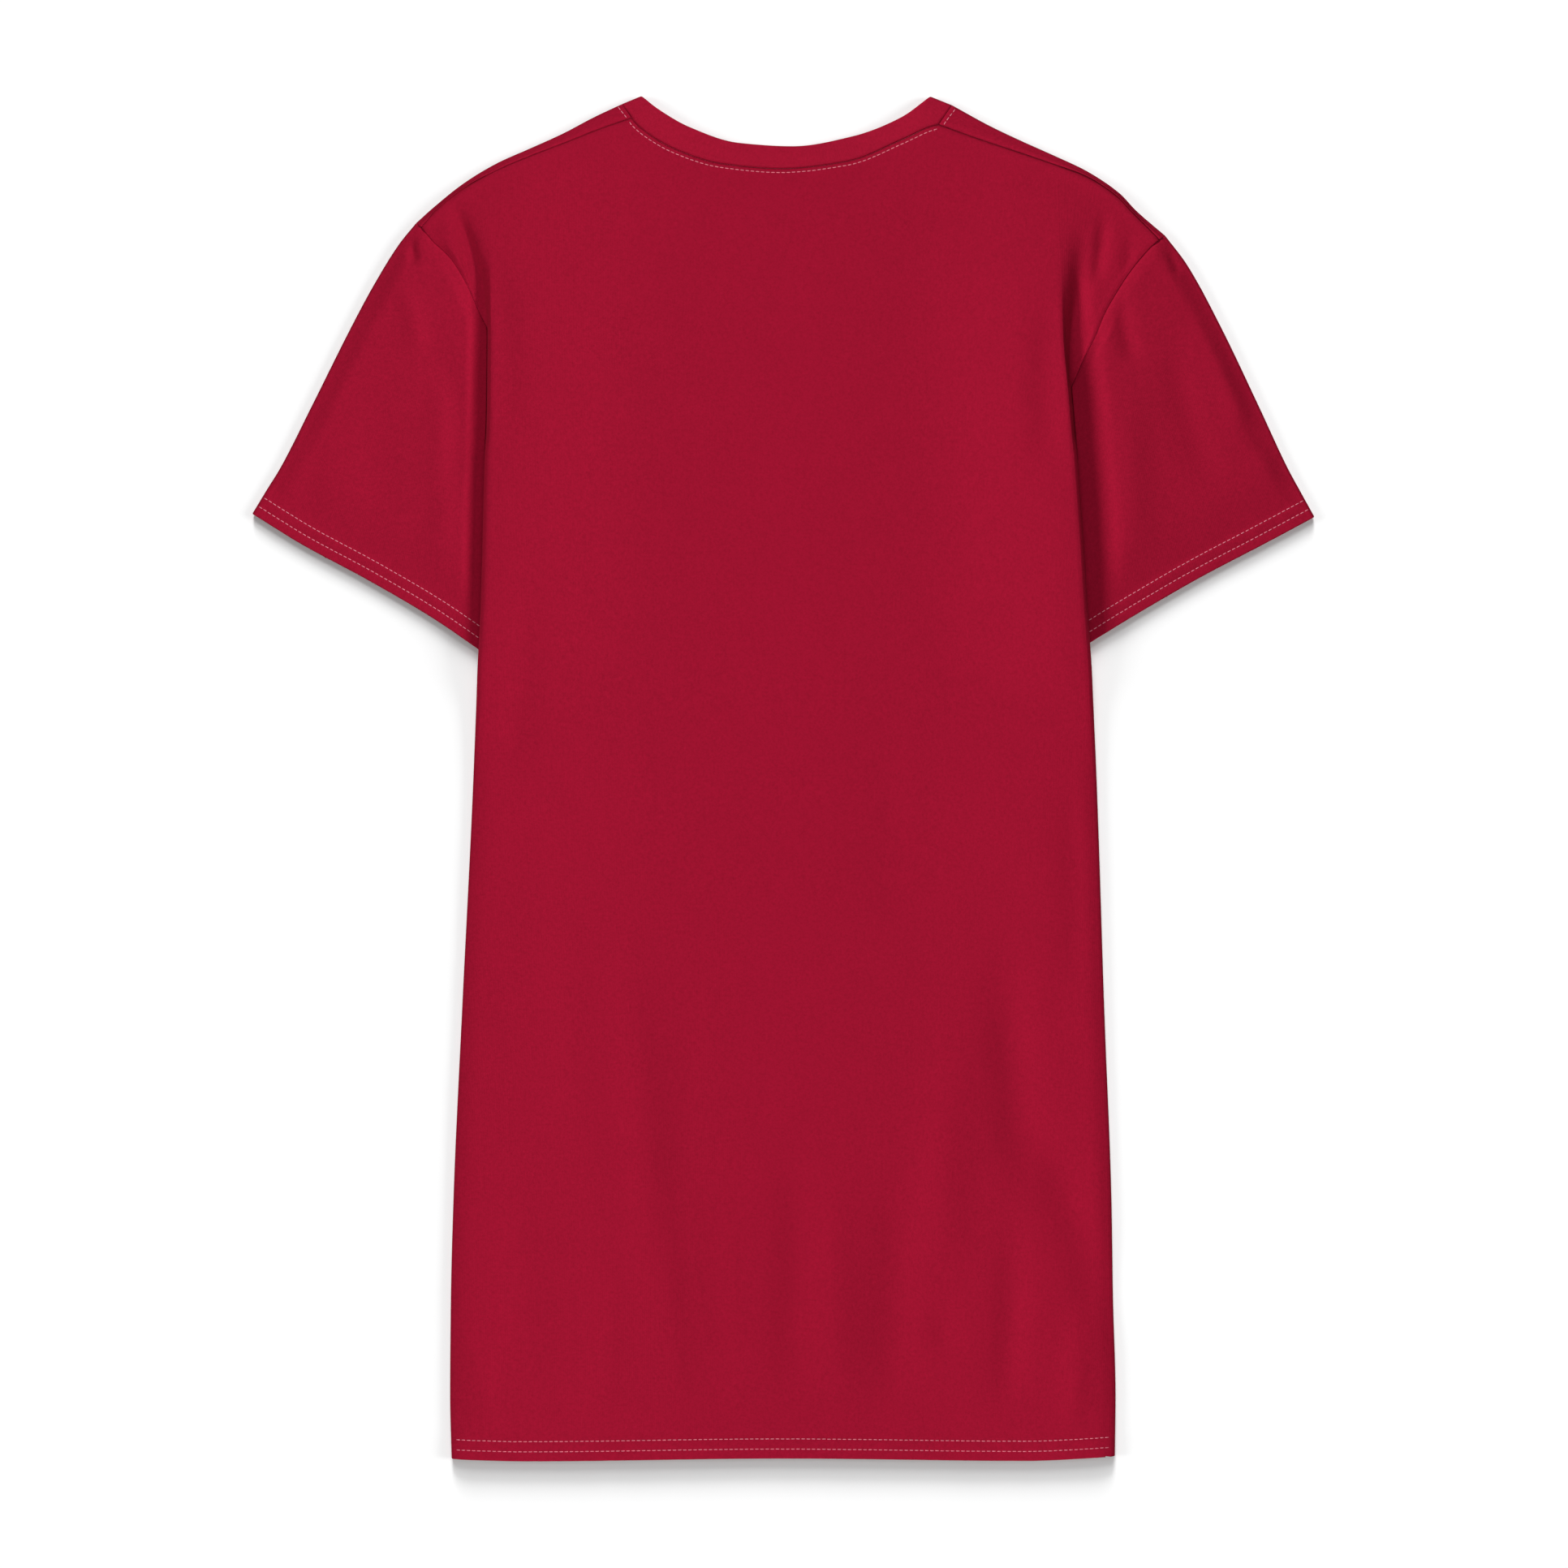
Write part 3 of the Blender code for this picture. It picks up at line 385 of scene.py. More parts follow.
def distance_to(x, y, line):
    """Distance from each plan point to a line of points."""
    best = np.full(np.shape(x), np.inf)
    for (x0, y0), (x1, y1) in zip(line[:-1], line[1:]):
        run = max((x1 - x0) ** 2 + (y1 - y0) ** 2, 1e-9)
        t = np.clip(((x - x0) * (x1 - x0) + (y - y0) * (y1 - y0)) / run, 0, 1)
        best = np.minimum(best, np.hypot(x - x0 - t * (x1 - x0), y - y0 - t * (y1 - y0)))
    return best


def seam_dip(distance):
    """A seam: the cloth turns down into it, and its allowance lifts the cloth beside it."""
    return WELT_HEIGHT * bell(distance - WELT_AWAY, WELT_WIDTH) - SEAM_DEPTH * bell(distance, SEAM_WIDTH)


def hem_form(distance, x):
    """A turned-up hem: twice as thick, with twin rows of stitches drawn in and a few puckers."""
    band = HEM_STEP * ramp((HEM_DEPTH + HEM_RADIUS - distance) / HEM_EASE)
    rows = sum(bell(distance - row, ROW_WIDTH) for row in STITCH_ROWS)
    puckers = slackness(x, distance, *HEM_PUCKERS) * bell(distance - PUCKERS_AT, PUCKERS_WIDTH)
    return band - ROW_DEPTH * rows + puckers


def shoulder(side, shares):
    """Fold and seam of a shoulder, from neck to armhole."""
    rows = BODY[side]["shoulder"]
    return path(plan(rows, "fold_x", "fold_y"), shares), path(plan(rows, "seam_x", "seam_y"), shares)


def crest_share(side):
    """Share of the shoulder seam at which the side fold's crest line meets it."""
    shares = np.linspace(0, 1, 401)
    seams = shoulder(side, shares)[1]
    off = seams[:, 0] - side_edge(seams[:, 1], side) - INWARD[side] * SIDE_REACH
    return shares[np.argmin(np.abs(off))]


def shoulder_shares(side):
    """Samples of the shoulder seam: neck to the side fold's crest line, and on to the armhole."""
    split = crest_share(side)
    return np.linspace(0, split, SHOULDER_COLUMNS + 1), split + (1 - split) * OPEN_STEPS


def back_neck(shares):
    return path(plan(NECK_SEAM), shares)


def back_armhole(side):
    """The back armhole seam's x, y and height, from the shoulder to where the side fold covers it."""
    rows = BODY[side]["armhole"]
    return path(np.stack([rows["x"], rows["y"], rows["height"]], axis=-1), ARMHOLE_SHARES)


def covered_rows(side):
    """Where the side fold covers the armhole seam, upwards from the tuck."""
    return np.linspace(TUCK_OUT_Y, BODY[side]["armhole"]["y"][-1], COVERED_ROWS + 1)


NECK_LINE = back_neck(np.linspace(0, 1, 40))
SHOULDER_LINES = [shoulder(side, np.linspace(0, 1, 30))[1] for side in BODY]


def back_height(x, y, sewn=True):
    """The outside of the back, over the surface."""
    raised = lift(x, y)
    height = BACK_LEVEL + raised + FOLD_DEPTH * relief(x, y, BACK_FOLDS)
    from_hollow = np.hypot((x - NECK_HOLLOW["x"]) / NECK_HOLLOW["half_width"],
                           (y - NECK_HOLLOW["y"]) / NECK_HOLLOW["depth"])
    over_front_neck = ramp(NECK_HOLLOW["fades"] - from_hollow) * ramp((y - NECK_LEVEL_Y) / NECK_EASE)
    height += (NECK_LEVEL - BACK_LEVEL) * over_front_neck
    height += STACK_SWELL * ramp((y - SWELL_ENDS[0]) / SWELL_EASE) * ramp((SWELL_ENDS[1] - y) / SWELL_EASE)
    stacked = ramp((y - STACKED_FROM_Y) / STACKED_EASE)
    away = (inside_sides(x, y) - SIDE_REACH) / (SIDE_RUN + (STACK_RUN - SIDE_RUN) * stacked)
    rounded = (1 - np.clip(away, 0, 1)) ** 2
    near_side = rounded + (1 - ramp(away) - rounded) * stacked
    height += (crest(y) - BACK_LEVEL - raised) * near_side
    for line in SHOULDER_LINES:
        near = 1 - ramp(distance_to(x, y, line) / SHOULDER_RUN)
        height += (SHOULDER_TOP - height) * near
    height += slackness(x, y, *BACK_SLACK) + slackness(x, y, *BACK_RUMPLES)
    if sewn:
        neck = distance_to(x, y, NECK_LINE)
        height += seam_dip(neck) - NECK_ROW_DEPTH * bell(neck - NECK_ROW, ROW_WIDTH)
        for line in SHOULDER_LINES:
            height += seam_dip(distance_to(x, y, line))
        height += hem_form(y - hem_y(x), x)
    return height


def crest_line(side):
    """The side fold's crest, hem to shoulder seam: points, and how many lie where the fold is closed."""
    top_y = shoulder(side, [crest_share(side)])[1][0, 1]
    corner = hem_y(side_edge(HEM_Y, side)) - HEM_Y
    body = BODY_ROWS + corner * (1 - ramp((BODY_ROWS - HEM_Y) / CORNER_EASE))
    closed = np.concatenate([body, covered_rows(side)[1:]])
    y = np.concatenate([closed, closed[-1] + (top_y - closed[-1]) * (1 - ARMHOLE_SHARES[-2::-1])])
    x = side_edge(y, side) + INWARD[side] * SIDE_REACH
    return xy(x, y), len(closed)


def side_strip(side, crest_points, closed, shoulder_edge):
    """The back from its crest line round the side fold to the seam: rows by columns, crest first."""
    sign = INWARD[side]
    tops = back_height(crest_points[:, 0], crest_points[:, 1])
    y = crest_points[:closed, 1]
    edge = xy(side_edge(y, side), y)
    opening = ramp((y - TUCK_END_Y) / (TUCK_OUT_Y - TUCK_END_Y))
    low = REST_CLEARANCE + lift(edge[:, 0], np.minimum(y, TUCK_END_Y))
    end_height = low + (COVERED_EDGE - low) * opening
    unturned = 1 - np.cos(np.pi / 2 * opening)
    low = (2 * end_height - tops[:closed] * unturned) / (2 - unturned)
    flat_run = (tuck(y) - SEAM_GAP / 2 - SIDE_REACH) * (1 - opening)
    strip = []
    for k, opened in enumerate(opening):
        row = slice(k, k + 1)
        round_fold = roll(edge[row], np.array([[sign, 0.0]]), tops[row], low[row],
                          FINE_TURNS * (1 - opened / 2), SIDE_REACH, SIDE_LEAN)[0]
        under = round_fold[-1] + np.outer(UNDER_STEPS, [sign * flat_run[k], 0, 0])
        curve = np.concatenate([round_fold, under])
        run = run_along(curve)
        round_run, under_run = run[:len(FINE_TURNS)], run[len(FINE_TURNS):]
        tucked = np.concatenate([np.interp(ROLL_TURNS, FINE_TURNS, round_run), under_run])
        at = tucked + (np.interp(STRIP_STEPS, FINE_TURNS, round_run) - tucked) * opened
        strip.append(np.stack([np.interp(at, run, column) for column in curve.T], axis=-1))

    up = 1 - ARMHOLE_SHARES[::-1]
    seam = back_armhole(side)[::-1]
    seam[:, :2] = aside(seam[:, :2], -sign * SEAM_GAP / 2)
    seam[-1, :2] = shoulder_edge[-1]
    straight = shoulder_edge[:1] + (shoulder_edge[-1:] - shoulder_edge[:1]) * OPEN_STEPS[:, None]
    for share, crest_point, top, edge_point in zip(up[1:], crest_points[closed:], tops[closed:], seam[1:]):
        row = crest_point + (edge_point[:2] - crest_point) * OPEN_STEPS[:, None]
        row = row + (shoulder_edge - straight) * share ** 3  # bends like the shoulder near it
        away = np.linalg.norm(row - row[0], axis=1)
        height = top + (edge_point[2] - top) * ramp(OPEN_STEPS)
        folds = relief(row[:, 0], row[:, 1], ARMHOLE_FOLDS)
        folds = folds * ramp(away / ARMHOLE_FOLD_RUNS[0]) * ramp((away[-1] - away) / ARMHOLE_FOLD_RUNS[1])
        to_shoulder = np.minimum(*(distance_to(row[:, 0], row[:, 1], line) for line in SHOULDER_LINES))
        dips = seam_dip(away[-1] - away) + seam_dip(to_shoulder) * ramp(away / SHOULDER_DIP_RUN)
        dips = dips * ramp(away / SEAM_DIP_RUNS[0]) * ramp(away[-1] / SEAM_DIP_RUNS[1])
        strip.append(with_height(row, np.maximum(height + folds, VALLEY_FLOOR) + dips))
    return np.array(strip)


WELD = 0.01                # corners nearer than this are one


def sew(patches, outline=None):
    """Welds patches, and a flat outline on the surface, into one skin that knows its knit's direction."""
    skin = bmesh.new()
    knit = skin.loops.layers.uv.new("knit")
    for grid in patches:
        rows, columns = grid.shape[:2]
        u = from_zero(np.linalg.norm(np.diff(grid, axis=1), axis=2).mean(0)) * MM
        v = from_zero(np.linalg.norm(np.diff(grid, axis=0), axis=2).mean(1)) * MM
        made = [skin.verts.new(p) for p in (grid.reshape(-1, 3) * MM).tolist()]
        for r in range(rows - 1):
            for c in range(columns - 1):
                corners = ((r, c), (r, c + 1), (r + 1, c + 1), (r + 1, c))
                face = skin.faces.new([made[a * columns + b] for a, b in corners])
                for loop, (a, b) in zip(face.loops, corners):
                    loop[knit].uv = (u[b], v[a])
    flat = []
    if outline is not None:
        x, y = outline.T
        clockwise = np.sum(x * np.roll(y, -1) - y * np.roll(x, -1)) < 0
        ordered = outline if clockwise else outline[::-1]
        flat = [skin.faces.new([skin.verts.new(p) for p in (with_height(ordered, 0.0) * MM).tolist()])]
        for loop in flat[0].loops:
            loop[knit].uv = loop.vert.co.xy
    bmesh.ops.remove_doubles(skin, verts=skin.verts, dist=WELD * MM)
    return skin, flat


def turn_up(skin, on_hem):
    """Turns the cloth back on its inside along a free edge."""
    skin.normal_update()
    edges = [e for e in skin.edges if e.is_boundary and all(on_hem(v.co) for v in e.verts)]
    corners = list(dict.fromkeys(v for e in edges for v in e.verts))
    hem_edges = set(edges)
    start = {}
    for v in corners:
        beside = [e.other_vert(v).co for e in v.link_edges if e in hem_edges]
        along = (beside[-1] - (beside[0] if len(beside) > 1 else v.co)).normalized()
        inward = v.normal.cross(along)
        middle = sum((f.calc_center_median() for f in v.link_faces), Vector()) / len(v.link_faces)
        if inward.dot(middle - v.co) < 0:
            inward.negate()
        start[v] = (v.co.copy(), v.normal.copy(), inward.normalized())
    profile = [(HEM_RADIUS * (1 - np.sin(a)), HEM_RADIUS * (1 - np.cos(a))) for a in HEM_ANGLES]
    profile += [(HEM_RADIUS + (HEM_DEPTH - HEM_RADIUS) * share, 2 * HEM_RADIUS) for share in HEM_SHARES]
    for v, (place, _, inward) in start.items():
        v.co = place + inward * HEM_RADIUS * MM
    for inside, below in profile:
        made = bmesh.ops.extrude_edge_only(skin, edges=edges)["geom"]
        fresh = [g for g in made if isinstance(g, bmesh.types.BMVert)]
        moved = {}
        for v in fresh:
            moved[v] = next(start[e.other_vert(v)] for e in v.link_edges if e.other_vert(v) in start)
        for v, (place, normal, inward) in moved.items():
            v.co = place + (inward * inside - normal * below) * MM
        start = moved
        edges = [g for g in made if isinstance(g, bmesh.types.BMEdge) and all(v in moved for v in g.verts)]


WAVE = 6.2832              # one wave of the wales to a stitch's width
COURSE_WAVE, CHEVRON_BEND = 7.8, 2.2         # the same for the courses, and how far a wale bends them
RIB_WAVE = 0.4             # ribs to a wale
CHEVRON_HEIGHT, LOOP_HEIGHT = 0.35, 0.12
FUZZ_HEIGHTS = dict(fine=0.6, tufts=1.2)
CLOUDS = dict(             # scale and detail of each kind of unevenness
    fine=(1500.0, 3.0), tufts=(420.0, 4.0), grain=(800.0, 2.0), dyeing=(55.0, 3.0),
)
BASE_SHADE = 0.61
SHADE_SHARES = dict(tufts=0.30, grain=0.42, dyeing=0.06)
BASE_ROUGHNESS, FINE_ROUGHNESS = 0.78, 0.2


def jersey_group():
    """Shader group: fine vertical wales, a slight fuzz and cloudy dyeing, as colour, roughness and height."""
    group = bpy.data.node_groups.new("jersey_knit", "ShaderNodeTree")
    for in_out, sockets in (("INPUT", "Dye,Stitch Width,Fuzz,Rib"), ("OUTPUT", "Color,Roughness,Height")):
        for name in sockets.split(","):
            kind = "NodeSocketColor" if name in ("Dye", "Color") else "NodeSocketFloat"
            group.interface.new_socket(name=name, in_out=in_out, socket_type=kind)
    nodes, links = group.nodes, group.links
    given, out = nodes.new("NodeGroupInput"), nodes.new("NodeGroupOutput")

    def calc(operation, *values):
        node = nodes.new("ShaderNodeMath")
        node.operation = operation
        for socket, value in zip(node.inputs, values):
            if hasattr(value, "is_output"):
                links.new(value, socket)
            else:
                socket.default_value = value
        return node.outputs[0]

    def add(a, b):
        return calc("ADD", a, b)

    def times(a, b):
        return calc("MULTIPLY", a, b)

    where = nodes.new("ShaderNodeTexCoord")
    knit = nodes.new("ShaderNodeSeparateXYZ")
    links.new(where.outputs["UV"], knit.inputs[0])
    clouds = {}
    for name, (scale, detail) in CLOUDS.items():
        cloud = nodes.new("ShaderNodeTexNoise")
        cloud.inputs["Scale"].default_value = scale
        cloud.inputs["Detail"].default_value = detail
        links.new(where.outputs["Object"], cloud.inputs["Vector"])
        clouds[name] = cloud.outputs["Fac"]
    wale = times(calc("DIVIDE", knit.outputs["X"], given.outputs["Stitch Width"]), WAVE)
    course = times(calc("DIVIDE", knit.outputs["Y"], given.outputs["Stitch Width"]), COURSE_WAVE)
    chevron = calc("ABSOLUTE", calc("SINE", times(wale, 0.5)))
    loops = calc("SINE", add(course, times(chevron, CHEVRON_BEND)))
    ribs = times(calc("SINE", times(wale, RIB_WAVE)), given.outputs["Rib"])
    fuzz = add(*(times(clouds[name], share) for name, share in FUZZ_HEIGHTS.items()))
    height = add(add(times(chevron, CHEVRON_HEIGHT), times(loops, LOOP_HEIGHT)), ribs)
    links.new(add(height, times(fuzz, given.outputs["Fuzz"])), out.inputs["Height"])

    shade = BASE_SHADE
    for name, share in SHADE_SHARES.items():
        shade = add(shade, times(clouds[name], share))
    dyed = nodes.new("ShaderNodeVectorMath")
    dyed.operation = "SCALE"
    links.new(given.outputs["Dye"], dyed.inputs[0])
    links.new(shade, dyed.inputs["Scale"])
    links.new(dyed.outputs[0], out.inputs["Color"])
    links.new(add(BASE_ROUGHNESS, times(clouds["fine"], FINE_ROUGHNESS)), out.inputs["Roughness"])
    return group


JERSEY_KNIT = jersey_group()


STITCH_WIDTH, KNIT_DEPTH = 0.8, 0.25
FUZZ = 0.8
CRIMSON = (0.300, 0.0048, 0.0245, 1.0)
SHEEN_TINT = (0.9, 0.12, 0.18, 1.0)


def matt_finish(name, **surface):
    """A Principled material with these uniform values, and its nodes."""
    finish = bpy.data.materials.new(name)
    finish.use_nodes = True
    shader = finish.node_tree.nodes["Principled BSDF"]
    for socket, value in surface.items():
        shader.inputs[socket.replace("_", " ")].default_value = value
    return finish, finish.node_tree.nodes, finish.node_tree.links, shader


def raise_surface(nodes, links, shader, height, strength, distance):
    """Bump of this height, in millimetres, under the shader."""
    raised = nodes.new("ShaderNodeBump")
    raised.inputs["Strength"].default_value = strength
    raised.inputs["Distance"].default_value = distance * MM
    links.new(height, raised.inputs["Height"])
    links.new(raised.outputs["Normal"], shader.inputs["Normal"])


def cloth_finish(name, dye, rib, bump):
    """Matt dyed cotton: the knit group in a Principled shader with a soft sheen."""
    finish, nodes, links, shader = matt_finish(
        name, Specular_IOR_Level=0.04, Sheen_Weight=0.1, Sheen_Tint=SHEEN_TINT, Sheen_Roughness=0.5)
    knit = nodes.new("ShaderNodeGroup")
    knit.node_tree = JERSEY_KNIT
    for socket, value in (("Dye", dye), ("Stitch Width", STITCH_WIDTH * MM), ("Fuzz", FUZZ), ("Rib", rib)):
        knit.inputs[socket].default_value = value
    links.new(knit.outputs["Color"], shader.inputs["Base Color"])
    links.new(knit.outputs["Roughness"], shader.inputs["Roughness"])
    raise_surface(nodes, links, shader, knit.outputs["Height"], bump, KNIT_DEPTH)
    return finish


JERSEY = cloth_finish("crimson_jersey", CRIMSON, rib=0.0, bump=0.35)


def in_scene(name, data):
    thing = bpy.data.objects.new(name, data)
    bpy.context.scene.collection.objects.link(thing)
    return thing


def cloth_piece(skin, name, finish, node):
    """Makes the skin a piece with its wall inside it, in the place of its solid."""
    mesh = bpy.data.meshes.new(name)
    skin.normal_update()
    skin.to_mesh(mesh)
    skin.free()
    mesh.shade_smooth()
    mesh.materials.append(finish)
    piece = in_scene(name, mesh)
    wall = piece.modifiers.new("wall", "SOLIDIFY")
    wall.thickness = WALL * MM
    wall.offset = -1
    wall.use_quality_normals = True
    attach(piece, "root")
    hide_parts(node)
    return piece


HEM_REACH = 0.08           # how near a hem's line a free edge belongs to it


def on_body_hem(place):
    return abs(place.y / MM - hem_y(np.float64(place.x / MM))) < HEM_REACH


crests, closed_rows, shoulder_edges, near_neck = {}, {}, {}, {}
for side in BODY:
    crests[side], closed_rows[side] = crest_line(side)
    near_shares, far_shares = shoulder_shares(side)
    near_neck[side] = shoulder(side, near_shares)[1]
    eased = aside(shoulder(side, far_shares)[1], INWARD[side] * SEAM_GAP / 2)
    arm = back_armhole(side)[:, :2]
    eased[-1] += (aside(arm, INWARD[side] * SEAM_GAP / 2) - arm)[0]
    shoulder_edges[side] = eased
top_edge = np.concatenate([
    near_neck["left"][::-1], back_neck(np.linspace(0, 1, NECK_COLUMNS + 1))[1:-1], near_neck["right"],
])
top_edge = aside(top_edge, -SEAM_GAP / 2)
for side, end in (("left", 0), ("right", -1)):
    crests[side][-1] = top_edge[end]
    shoulder_edges[side][0] = top_edge[end]
u = np.linspace(0, 1, len(top_edge))
hem_x = crests["left"][0, 0] + (crests["right"][0, 0] - crests["left"][0, 0]) * u
bottom_edge = xy(hem_x, hem_y(hem_x))
bottom_edge[0], bottom_edge[-1] = crests["left"][0], crests["right"][0]
v = (crests["left"][:, 1] - crests["left"][0, 1]) / np.ptp(crests["left"][:, 1])
middle = patch(bottom_edge, top_edge, crests["left"], crests["right"], u, v, hold=3)
middle = with_height(middle, back_height(middle[..., 0], middle[..., 1]))
strips = {side: side_strip(side, crests[side], closed_rows[side], shoulder_edges[side]) for side in BODY}
skin, _ = sew([middle, strips["left"][:, ::-1], strips["right"]])
turn_up(skin, on_body_hem)
back = cloth_piece(skin, "back_cloth", JERSEY, "back_panel")


# ---- Front panel ----
# The front is the same jersey, face down on the surface, with a deeper neckline. Its shoulders wrap
# over to the shoulder seams on the back's side, and it carries a few shallow folds of its own.

NECK_BOTTOM_Y = 341.0
FRONT_NECK_FULLNESS = 2.3  # 2 is an ellipse, more is squarer
FRONT_ARMHOLE = table(
    "left_x right_x y",
    (-222, 231, 338),
    (-204, 209, 312),
    (-190, 189, 275),
    (-184.5, 181, 232),
)
FRONT_ARMHOLE_ROWS = 40
SEAM_EASE = 0.0005         # share of a shoulder that half a seam gap takes
WRAP_SHARES = np.array([0.35, 0.65, 0.85, 1.0])
WRAP_DIP_RUN = 1.5
FRONT_FOLDS = table(
    FOLD_COLUMNS,
    (-120, -60, -98, -425, 5, 11, 0.8),
    (-30, -180, -40, -420, -4, 13, 0.7),
    (48, -120, 60, -415, 4, 12, 0.8),
    (128, -20, 150, -330, -6, 10, 0.7),
    (-160, 180, -150, -40, 4, 10, 0.6),
    (158, 200, 150, 20, -4, 11, 0.6),
    (-80, 300, -60, 120, 5, 16, 0.5),
    (75, 290, 40, 60, -5, 18, 0.5),
)
FRONT_SLACK = (0.12, 24.0, 50.0, 6.0)
FLAT_CELL = 5.0
FLAT_EASE = 14.0           # how far in from its outline a flat layer reaches its own height
FLAT_PUFF = 0.12           # which it has over the surface


def shoulder_inward(side, shares):
    folds, seams = shoulder(side, shares)
    return unit(seams - folds)


def shoulder_floor(side, shares):
    """Where the shoulder fold's underside meets the surface."""
    return shoulder(side, shares)[0] + FOLD_REACH * shoulder_inward(side, shares)


def front_neck(start, end, lowest):
    """Front neckline on the surface between two points, as half of a squared ellipse."""
    angle = np.linspace(0, np.pi, 121)
    power = 2 / FRONT_NECK_FULLNESS
    share = (1 - np.sign(np.cos(angle)) * np.abs(np.cos(angle)) ** power) / 2
    top = start[1] + (end[1] - start[1]) * share
    x = start[0] + (end[0] - start[0]) * share
    curve = xy(x, top - (top - lowest) * np.sin(angle) ** power)
    return path(curve, np.linspace(0, 1, NECK_COLUMNS + 1))


def front_armhole(side):
    """The front armhole seam on the surface, from the underarm up to the shoulder fold."""
    low_x = side_edge(UNDERARM_Y, side) + INWARD[side] * tuck(UNDERARM_Y)
    high_x, high_y = shoulder_floor(side, [1.0])[0]
    knots = np.concatenate([[UNDERARM_Y], FRONT_ARMHOLE["y"][::-1], [high_y]])
    values = np.concatenate([[low_x], FRONT_ARMHOLE[side + "_x"][::-1], [high_x]])
    above = np.linspace(TUCK_OUT_Y, high_y, FRONT_ARMHOLE_ROWS + 1)[1:]
    y = np.concatenate([BODY_ROWS[BODY_ROWS >= UNDERARM_Y], above])
    return xy(smooth(y, knots, values), y)


def lay_flat_part(skin, flat, outline, height):
    """Cuts the flat part into cells and gives it its height, level along its outline."""
    corners = dict.fromkeys(v for f in flat for v in f.verts)
    geometry = [*corners, *dict.fromkeys(e for f in flat for e in f.edges), *flat]
    low, high = outline.min(0), outline.max(0)
    for axis, across in enumerate(((1, 0, 0), (0, 1, 0))):
        for at in np.arange(low[axis] + FLAT_CELL, high[axis], FLAT_CELL):
            place = [0.0, 0.0, 0.0]
            place[axis] = at * MM
            geometry = bmesh.ops.bisect_plane(skin, geom=geometry, dist=0.001 * MM,
                                              plane_co=place, plane_no=across)["geom"]
    corners = [g for g in geometry if isinstance(g, bmesh.types.BMVert)]
    x, y = np.array([v.co.xy for v in corners]).T / MM
    closed_outline = np.concatenate([outline, outline[:1]])[::2]
    for v, z in zip(corners, height(x, y, distance_to(x, y, closed_outline))):
        v.co.z = z * MM


lines, wraps, floors = {}, {}, {}
for side in BODY:
    sign = INWARD[side]
    y = crests[side][:len(BODY_ROWS), 1][BODY_ROWS < UNDERARM_Y]
    seam = xy(side_edge(y, side) + sign * tuck(y), y)
    lines[side] = aside(np.concatenate([seam, front_armhole(side)[:-1]]), -sign * SEAM_GAP / 2)
    shares = np.concatenate([shoulder_shares(side)[0], shoulder_shares(side)[1][1:]])[::-1]
    shares = np.clip(shares, SEAM_EASE, 1 - SEAM_EASE)
    floors[side] = shoulder_floor(side, shares)
    fold, wrap_seam = shoulder(side, shares)
    inward = shoulder_inward(side, shares)
    high = np.full(len(fold), SHOULDER_EDGE)
    turned = roll(fold, inward, high, 0 * high, ROLL_TURNS[::-1])
    reach = np.linalg.norm(wrap_seam - fold, axis=1) - SEAM_GAP / 2
    run = FOLD_REACH + (reach - FOLD_REACH)[:, None] * WRAP_SHARES
    to_seam = reach[:, None] - run
    risen = (run - FOLD_REACH) / (run[:, -1:] - FOLD_REACH)
    height = SHOULDER_EDGE + (SHOULDER_TOP - SHOULDER_EDGE) * (2 * risen - risen ** 2)
    height += seam_dip(to_seam) * ramp((run - FOLD_REACH) / WRAP_DIP_RUN)
    on_top = with_height(fold[:, None] + inward[:, None] * run[..., None], height)
    wraps[side] = np.concatenate([turned, on_top], axis=1)
neck = aside(front_neck(shoulder_floor("left", [0.0])[0],
                        shoulder_floor("right", [0.0])[0], NECK_BOTTOM_Y), -SEAM_GAP / 2)
hem_x = np.linspace(lines["left"][0, 0], lines["right"][0, 0], 141)[1:-1]
outline = np.concatenate([
    xy(hem_x, hem_y(hem_x)), lines["right"], floors["right"], neck[::-1][1:-1],
    floors["left"][::-1], lines["left"][::-1],
])
skin, flat = sew([wraps["left"], wraps["right"][:, ::-1]], outline)
lay_flat_part(skin, flat, outline, lambda x, y, inside: lift(x, y) + ramp(inside / FLAT_EASE) * (
    np.clip(relief(x, y, FRONT_FOLDS), 0, None) + FLAT_PUFF + slackness(x, y, *FRONT_SLACK)))
turn_up(skin, on_body_hem)
front = cloth_piece(skin, "front_cloth", JERSEY, "front_panel")


# ---- Sleeves ----
# Each sleeve is one piece of jersey sewn into a tube and pressed flat: its outer fold runs from the
# shoulder to the hem, and its underarm fold lies under the body's side. The hem is turned up.

SLEEVE_LEVEL = 5.8
OUTER_TOP = 3.2            # of the sleeve's outer fold, away from the shoulder
OUT_LEFT = table(
    "x y",
    (-235.7, 356.1), (-246.6, 342.6), (-262.7, 316.6), (-276.7, 290.6),
    (-302.7, 238.6), (-322.5, 199.6), (-331.5, 185), (-340.8, 169.6),
)
OUT_RIGHT = table(
    "x y",
    (245, 348), (258.9, 329.6), (280.2, 290.6), (305.1, 238.6),
    (323.3, 199.6), (332.5, 182.6), (340.8, 167.6),
)
SLEEVE_HEM_LEFT = table(
    "x y",
    (-340.8, 169.6), (-308.5, 149.7), (-266.9, 127.3), (-225.3, 102.9), (-185.8, SLEEVE_HEM_Y),
)
SLEEVE_HEM_RIGHT = table(
    "x y",
    (340.8, 167.6), (309.3, 150.7), (267.7, 128.9), (226.1, 104.9), (187.4, SLEEVE_HEM_Y + 5),
)
